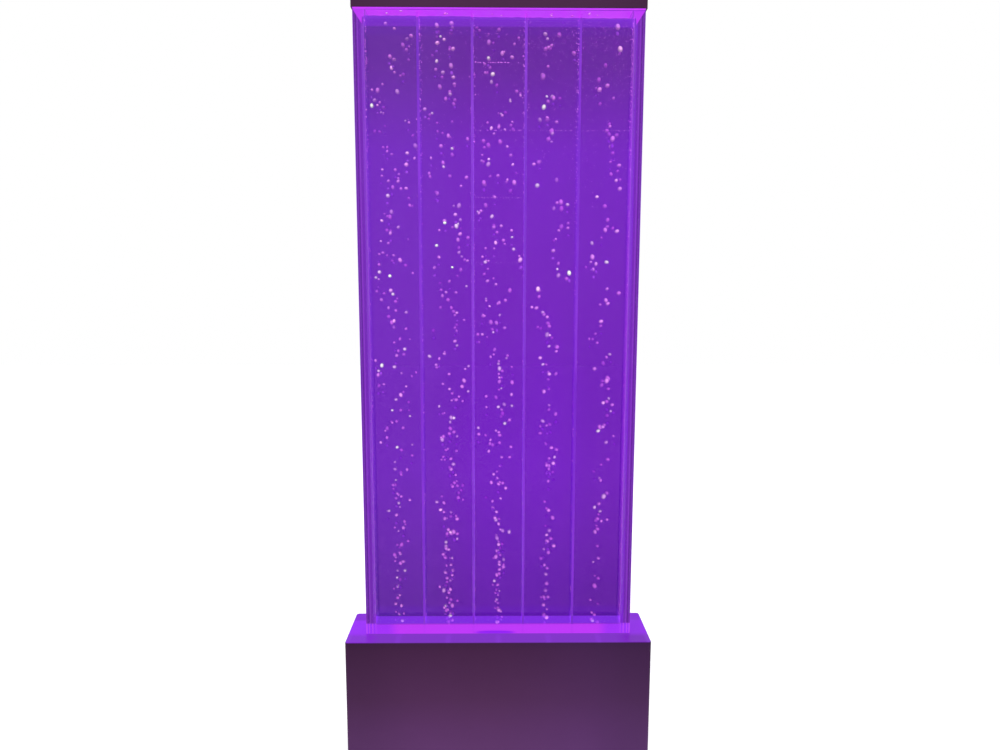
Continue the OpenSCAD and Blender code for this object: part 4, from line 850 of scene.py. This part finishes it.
def rising_bubbles(number, left, right, stream, look):
    """One chamber's stream: puffs of bubbles that spread as they rise, and the faint echoes of some."""
    dice = random.Random(STREAM_SEED + number)
    swarm = Swarm()
    centre = (left + right) / 2
    half = (right - left) / 2 - WALL_ROOM
    low, high = LOWEST_BUBBLE, HIGHEST_BUBBLE
    phase = dice.uniform(0.0, 6.28)
    for puff in range(stream["puffs"]):
        share = ((puff + dice.uniform(0.1, 0.9)) / stream["puffs"]) ** PUFF_CROWDING
        z = low + (high - low) * share
        grow = min(1.0, 0.10 + share * 1.5) + max(0.0, share - 0.75)
        sway = stream["sway"] * math.sin(phase + share * 13.0) * min(1.0, 0.3 + share * 2.0)
        middle = sway + stream["drift"] * min(1.0, share * 1.6)
        middle += dice.gauss(0.0, 1.0) * stream["spread"] * grow
        count = dice.randint(1, stream["most"])
        lean = dice.uniform(-0.9, 0.9)
        for k in range(count):
            along = (k - (count - 1) / 2) * dice.uniform(0.006, 0.014)
            x = centre + held(middle + along * lean + dice.gauss(0.0, 0.008) * (0.3 + grow), half)
            y = held(dice.gauss(0.0, 0.005 + 0.004 * grow), DEPTH_LIMIT)
            at = max(low, min(high, z + along + dice.gauss(0.0, 0.007)))
            size = stream["size"] * dice.uniform(0.66, 1.22)
            shape = {"squash": dice.choice((0.78, 0.86, 0.95, 1.25)), "tilt": dice.uniform(-0.6, 0.6),
                     "turn": dice.uniform(0.0, 3.1), "wobble": dice.uniform(-0.2, 0.2)}
            swarm.add((x, y, at), size, pick_tint(dice), **shape)
            if dice.random() < ECHO_CHANCE and at - 0.022 > low:
                across = x + dice.uniform(-0.002, 0.002)
                echo = (across, held(y - ECHO_AHEAD, DEPTH_LIMIT), at - ECHO_BELOW)
                swarm.add(echo, size * 0.9, GHOST_TINT, **shape)
    swarm.piece("bubbles_%d" % number, look)


def haze(swarm, dice, left, right, count):
    """Bubbles of one to two millimetres that hang below the surface, thinning out downwards."""
    for _ in range(count):
        z = WATER_TOP - 0.004 - min(dice.expovariate(1.0 / HAZE_FADE), HAZE_REACH)
        at = (dice.uniform(left + 0.004, right - 0.004), dice.uniform(-FINE_DEPTH, 0.2 * FINE_DEPTH), z)
        swarm.add(at, dice.uniform(0.0006, 0.0011), scaled(MICRO_TINT, dice.uniform(0.5, 1.6)), "fine", 0.9)


def clinging_beads(swarm, dice, wall, inward, share):
    """Small bubbles that cling to a chamber's wall, close together near the surface."""
    z = WATER_TOP - 0.002
    while z > LOWEST_BUBBLE:
        near_top = min(1.0, max(0.0, (z - THICK_FROM) / THICK_OVER))
        size = dice.uniform(0.0008, 0.0013)
        tint = scaled(MICRO_TINT, dice.uniform(0.7, 1.9) * (0.75 + 0.45 * near_top))
        off = size + dice.expovariate(1.0 / (0.0004 + 0.0012 * near_top))
        depth = dice.uniform(-FINE_DEPTH, dice.uniform(-FINE_DEPTH, FINE_DEPTH))
        swarm.add((wall + inward * min(off, BEAD_REACH), depth, z), size, tint, "fine", 0.95)
        z -= dice.expovariate(share / (0.0150 - 0.0118 * near_top))


def bead_rows(swarm, dice, left, right, heights, faded):
    """Level rows of beads on the front sheet, broken by gaps, each weaker than the one above."""
    for order, height in enumerate(heights, faded):
        x = left + 0.006
        while x < right - 0.006:
            at = (x, -FINE_DEPTH, height + dice.gauss(0.0, 0.0004))
            tint = scaled(MICRO_TINT, dice.uniform(*ROW_TINTS) * ROW_TINT_FADE ** order)
            swarm.add(at, dice.uniform(*ROW_SIZES) * ROW_SIZE_FADE ** order, tint, "fine", 0.9)
            x += dice.uniform(*ROW_STEPS)
            if dice.random() < ROW_GAP_CHANCE:
                x += dice.uniform(*ROW_GAPS)


def splash_drops(swarm, dice, left, right, level, count):
    """Drops that splashed on the front and back sheets above the water."""
    for k in range(count):
        side = 1.0 if k % 3 == 2 else -1.0
        size = dice.uniform(*DROP_SIZES)
        x = dice.uniform(left + 0.010, right - 0.010)
        at = (x, side * (FINE_DEPTH + 0.001), level + dice.uniform(0.005, 0.012))
        tint = (0.75, dice.uniform(0.08, 0.34), 0.95, 1.0)
        swarm.add(at, size, tint, "small", dice.uniform(0.4, 0.7), dice.uniform(-0.9, 0.9), flat=0.4)


# All in metres, sizes as half widths
FINE_DEPTH = -sheet_inner - 0.002
HAZE_FADE, HAZE_REACH = 0.11, 0.42
# Beads cling thicker from this height upwards, and are thickest this much higher
THICK_FROM, THICK_OVER = 1.25, 0.45
BEAD_REACH = 0.007
DROP_SIZES = (0.0018, 0.0042)
ROW_HEIGHTS = (1.702, 1.550, 1.395, 1.244, 1.100)
ROW_TINTS = (1.4, 3.0)
ROW_SIZES = (0.0010, 0.00156)
ROW_STEPS = (0.002, 0.011)
ROW_GAPS = (0.006, 0.020)
ROW_TINT_FADE = 0.75
ROW_SIZE_FADE = 0.84
ROW_GAP_CHANCE = 0.08
# For each chamber: bubbles in the haze, how thickly beads cling to its left and right wall, drops above the
# water, heights of its bead rows and how many steps fainter they start
FINE = (
    {"haze": 60, "left": 1.2, "right": 0.15, "drops": 2, "rows": (), "faded": 0},
    {"haze": 130, "left": 1.1, "right": 0.15, "drops": 2, "rows": (), "faded": 0},
    {"haze": 170, "left": 0.8, "right": 0.8, "drops": 2, "rows": ROW_HEIGHTS, "faded": 0},
    {"haze": 260, "left": 0.15, "right": 1.0, "drops": 4, "rows": ROW_HEIGHTS[1:2], "faded": 2},
    {"haze": 420, "left": 0.15, "right": 1.3, "drops": 2, "rows": ROW_HEIGHTS[1:2], "faded": 2},
)


def fine_bubbles(number, left, right, level, share, look):
    dice = random.Random(FINE_SEED + number)
    swarm = Swarm()
    haze(swarm, dice, left, right, share["haze"])
    clinging_beads(swarm, dice, left, 1.0, share["left"])
    clinging_beads(swarm, dice, right, -1.0, share["right"])
    bead_rows(swarm, dice, left, right, share["rows"], share["faded"])
    splash_drops(swarm, dice, left, right, level, share["drops"])
    swarm.piece("fine_bubbles_%d" % number, look)


bubble = bubble_look("bubble_air", rim_gain=0.40, core_gain=1.22)
for number, (left, right) in enumerate(CHAMBERS, 1):
    rising_bubbles(number, left, right, STREAMS[number - 1], bubble)
    fine_bubbles(number, left, right, WATER_TOP + WATER_LIFTS[number - 1], FINE[number - 1], bubble)
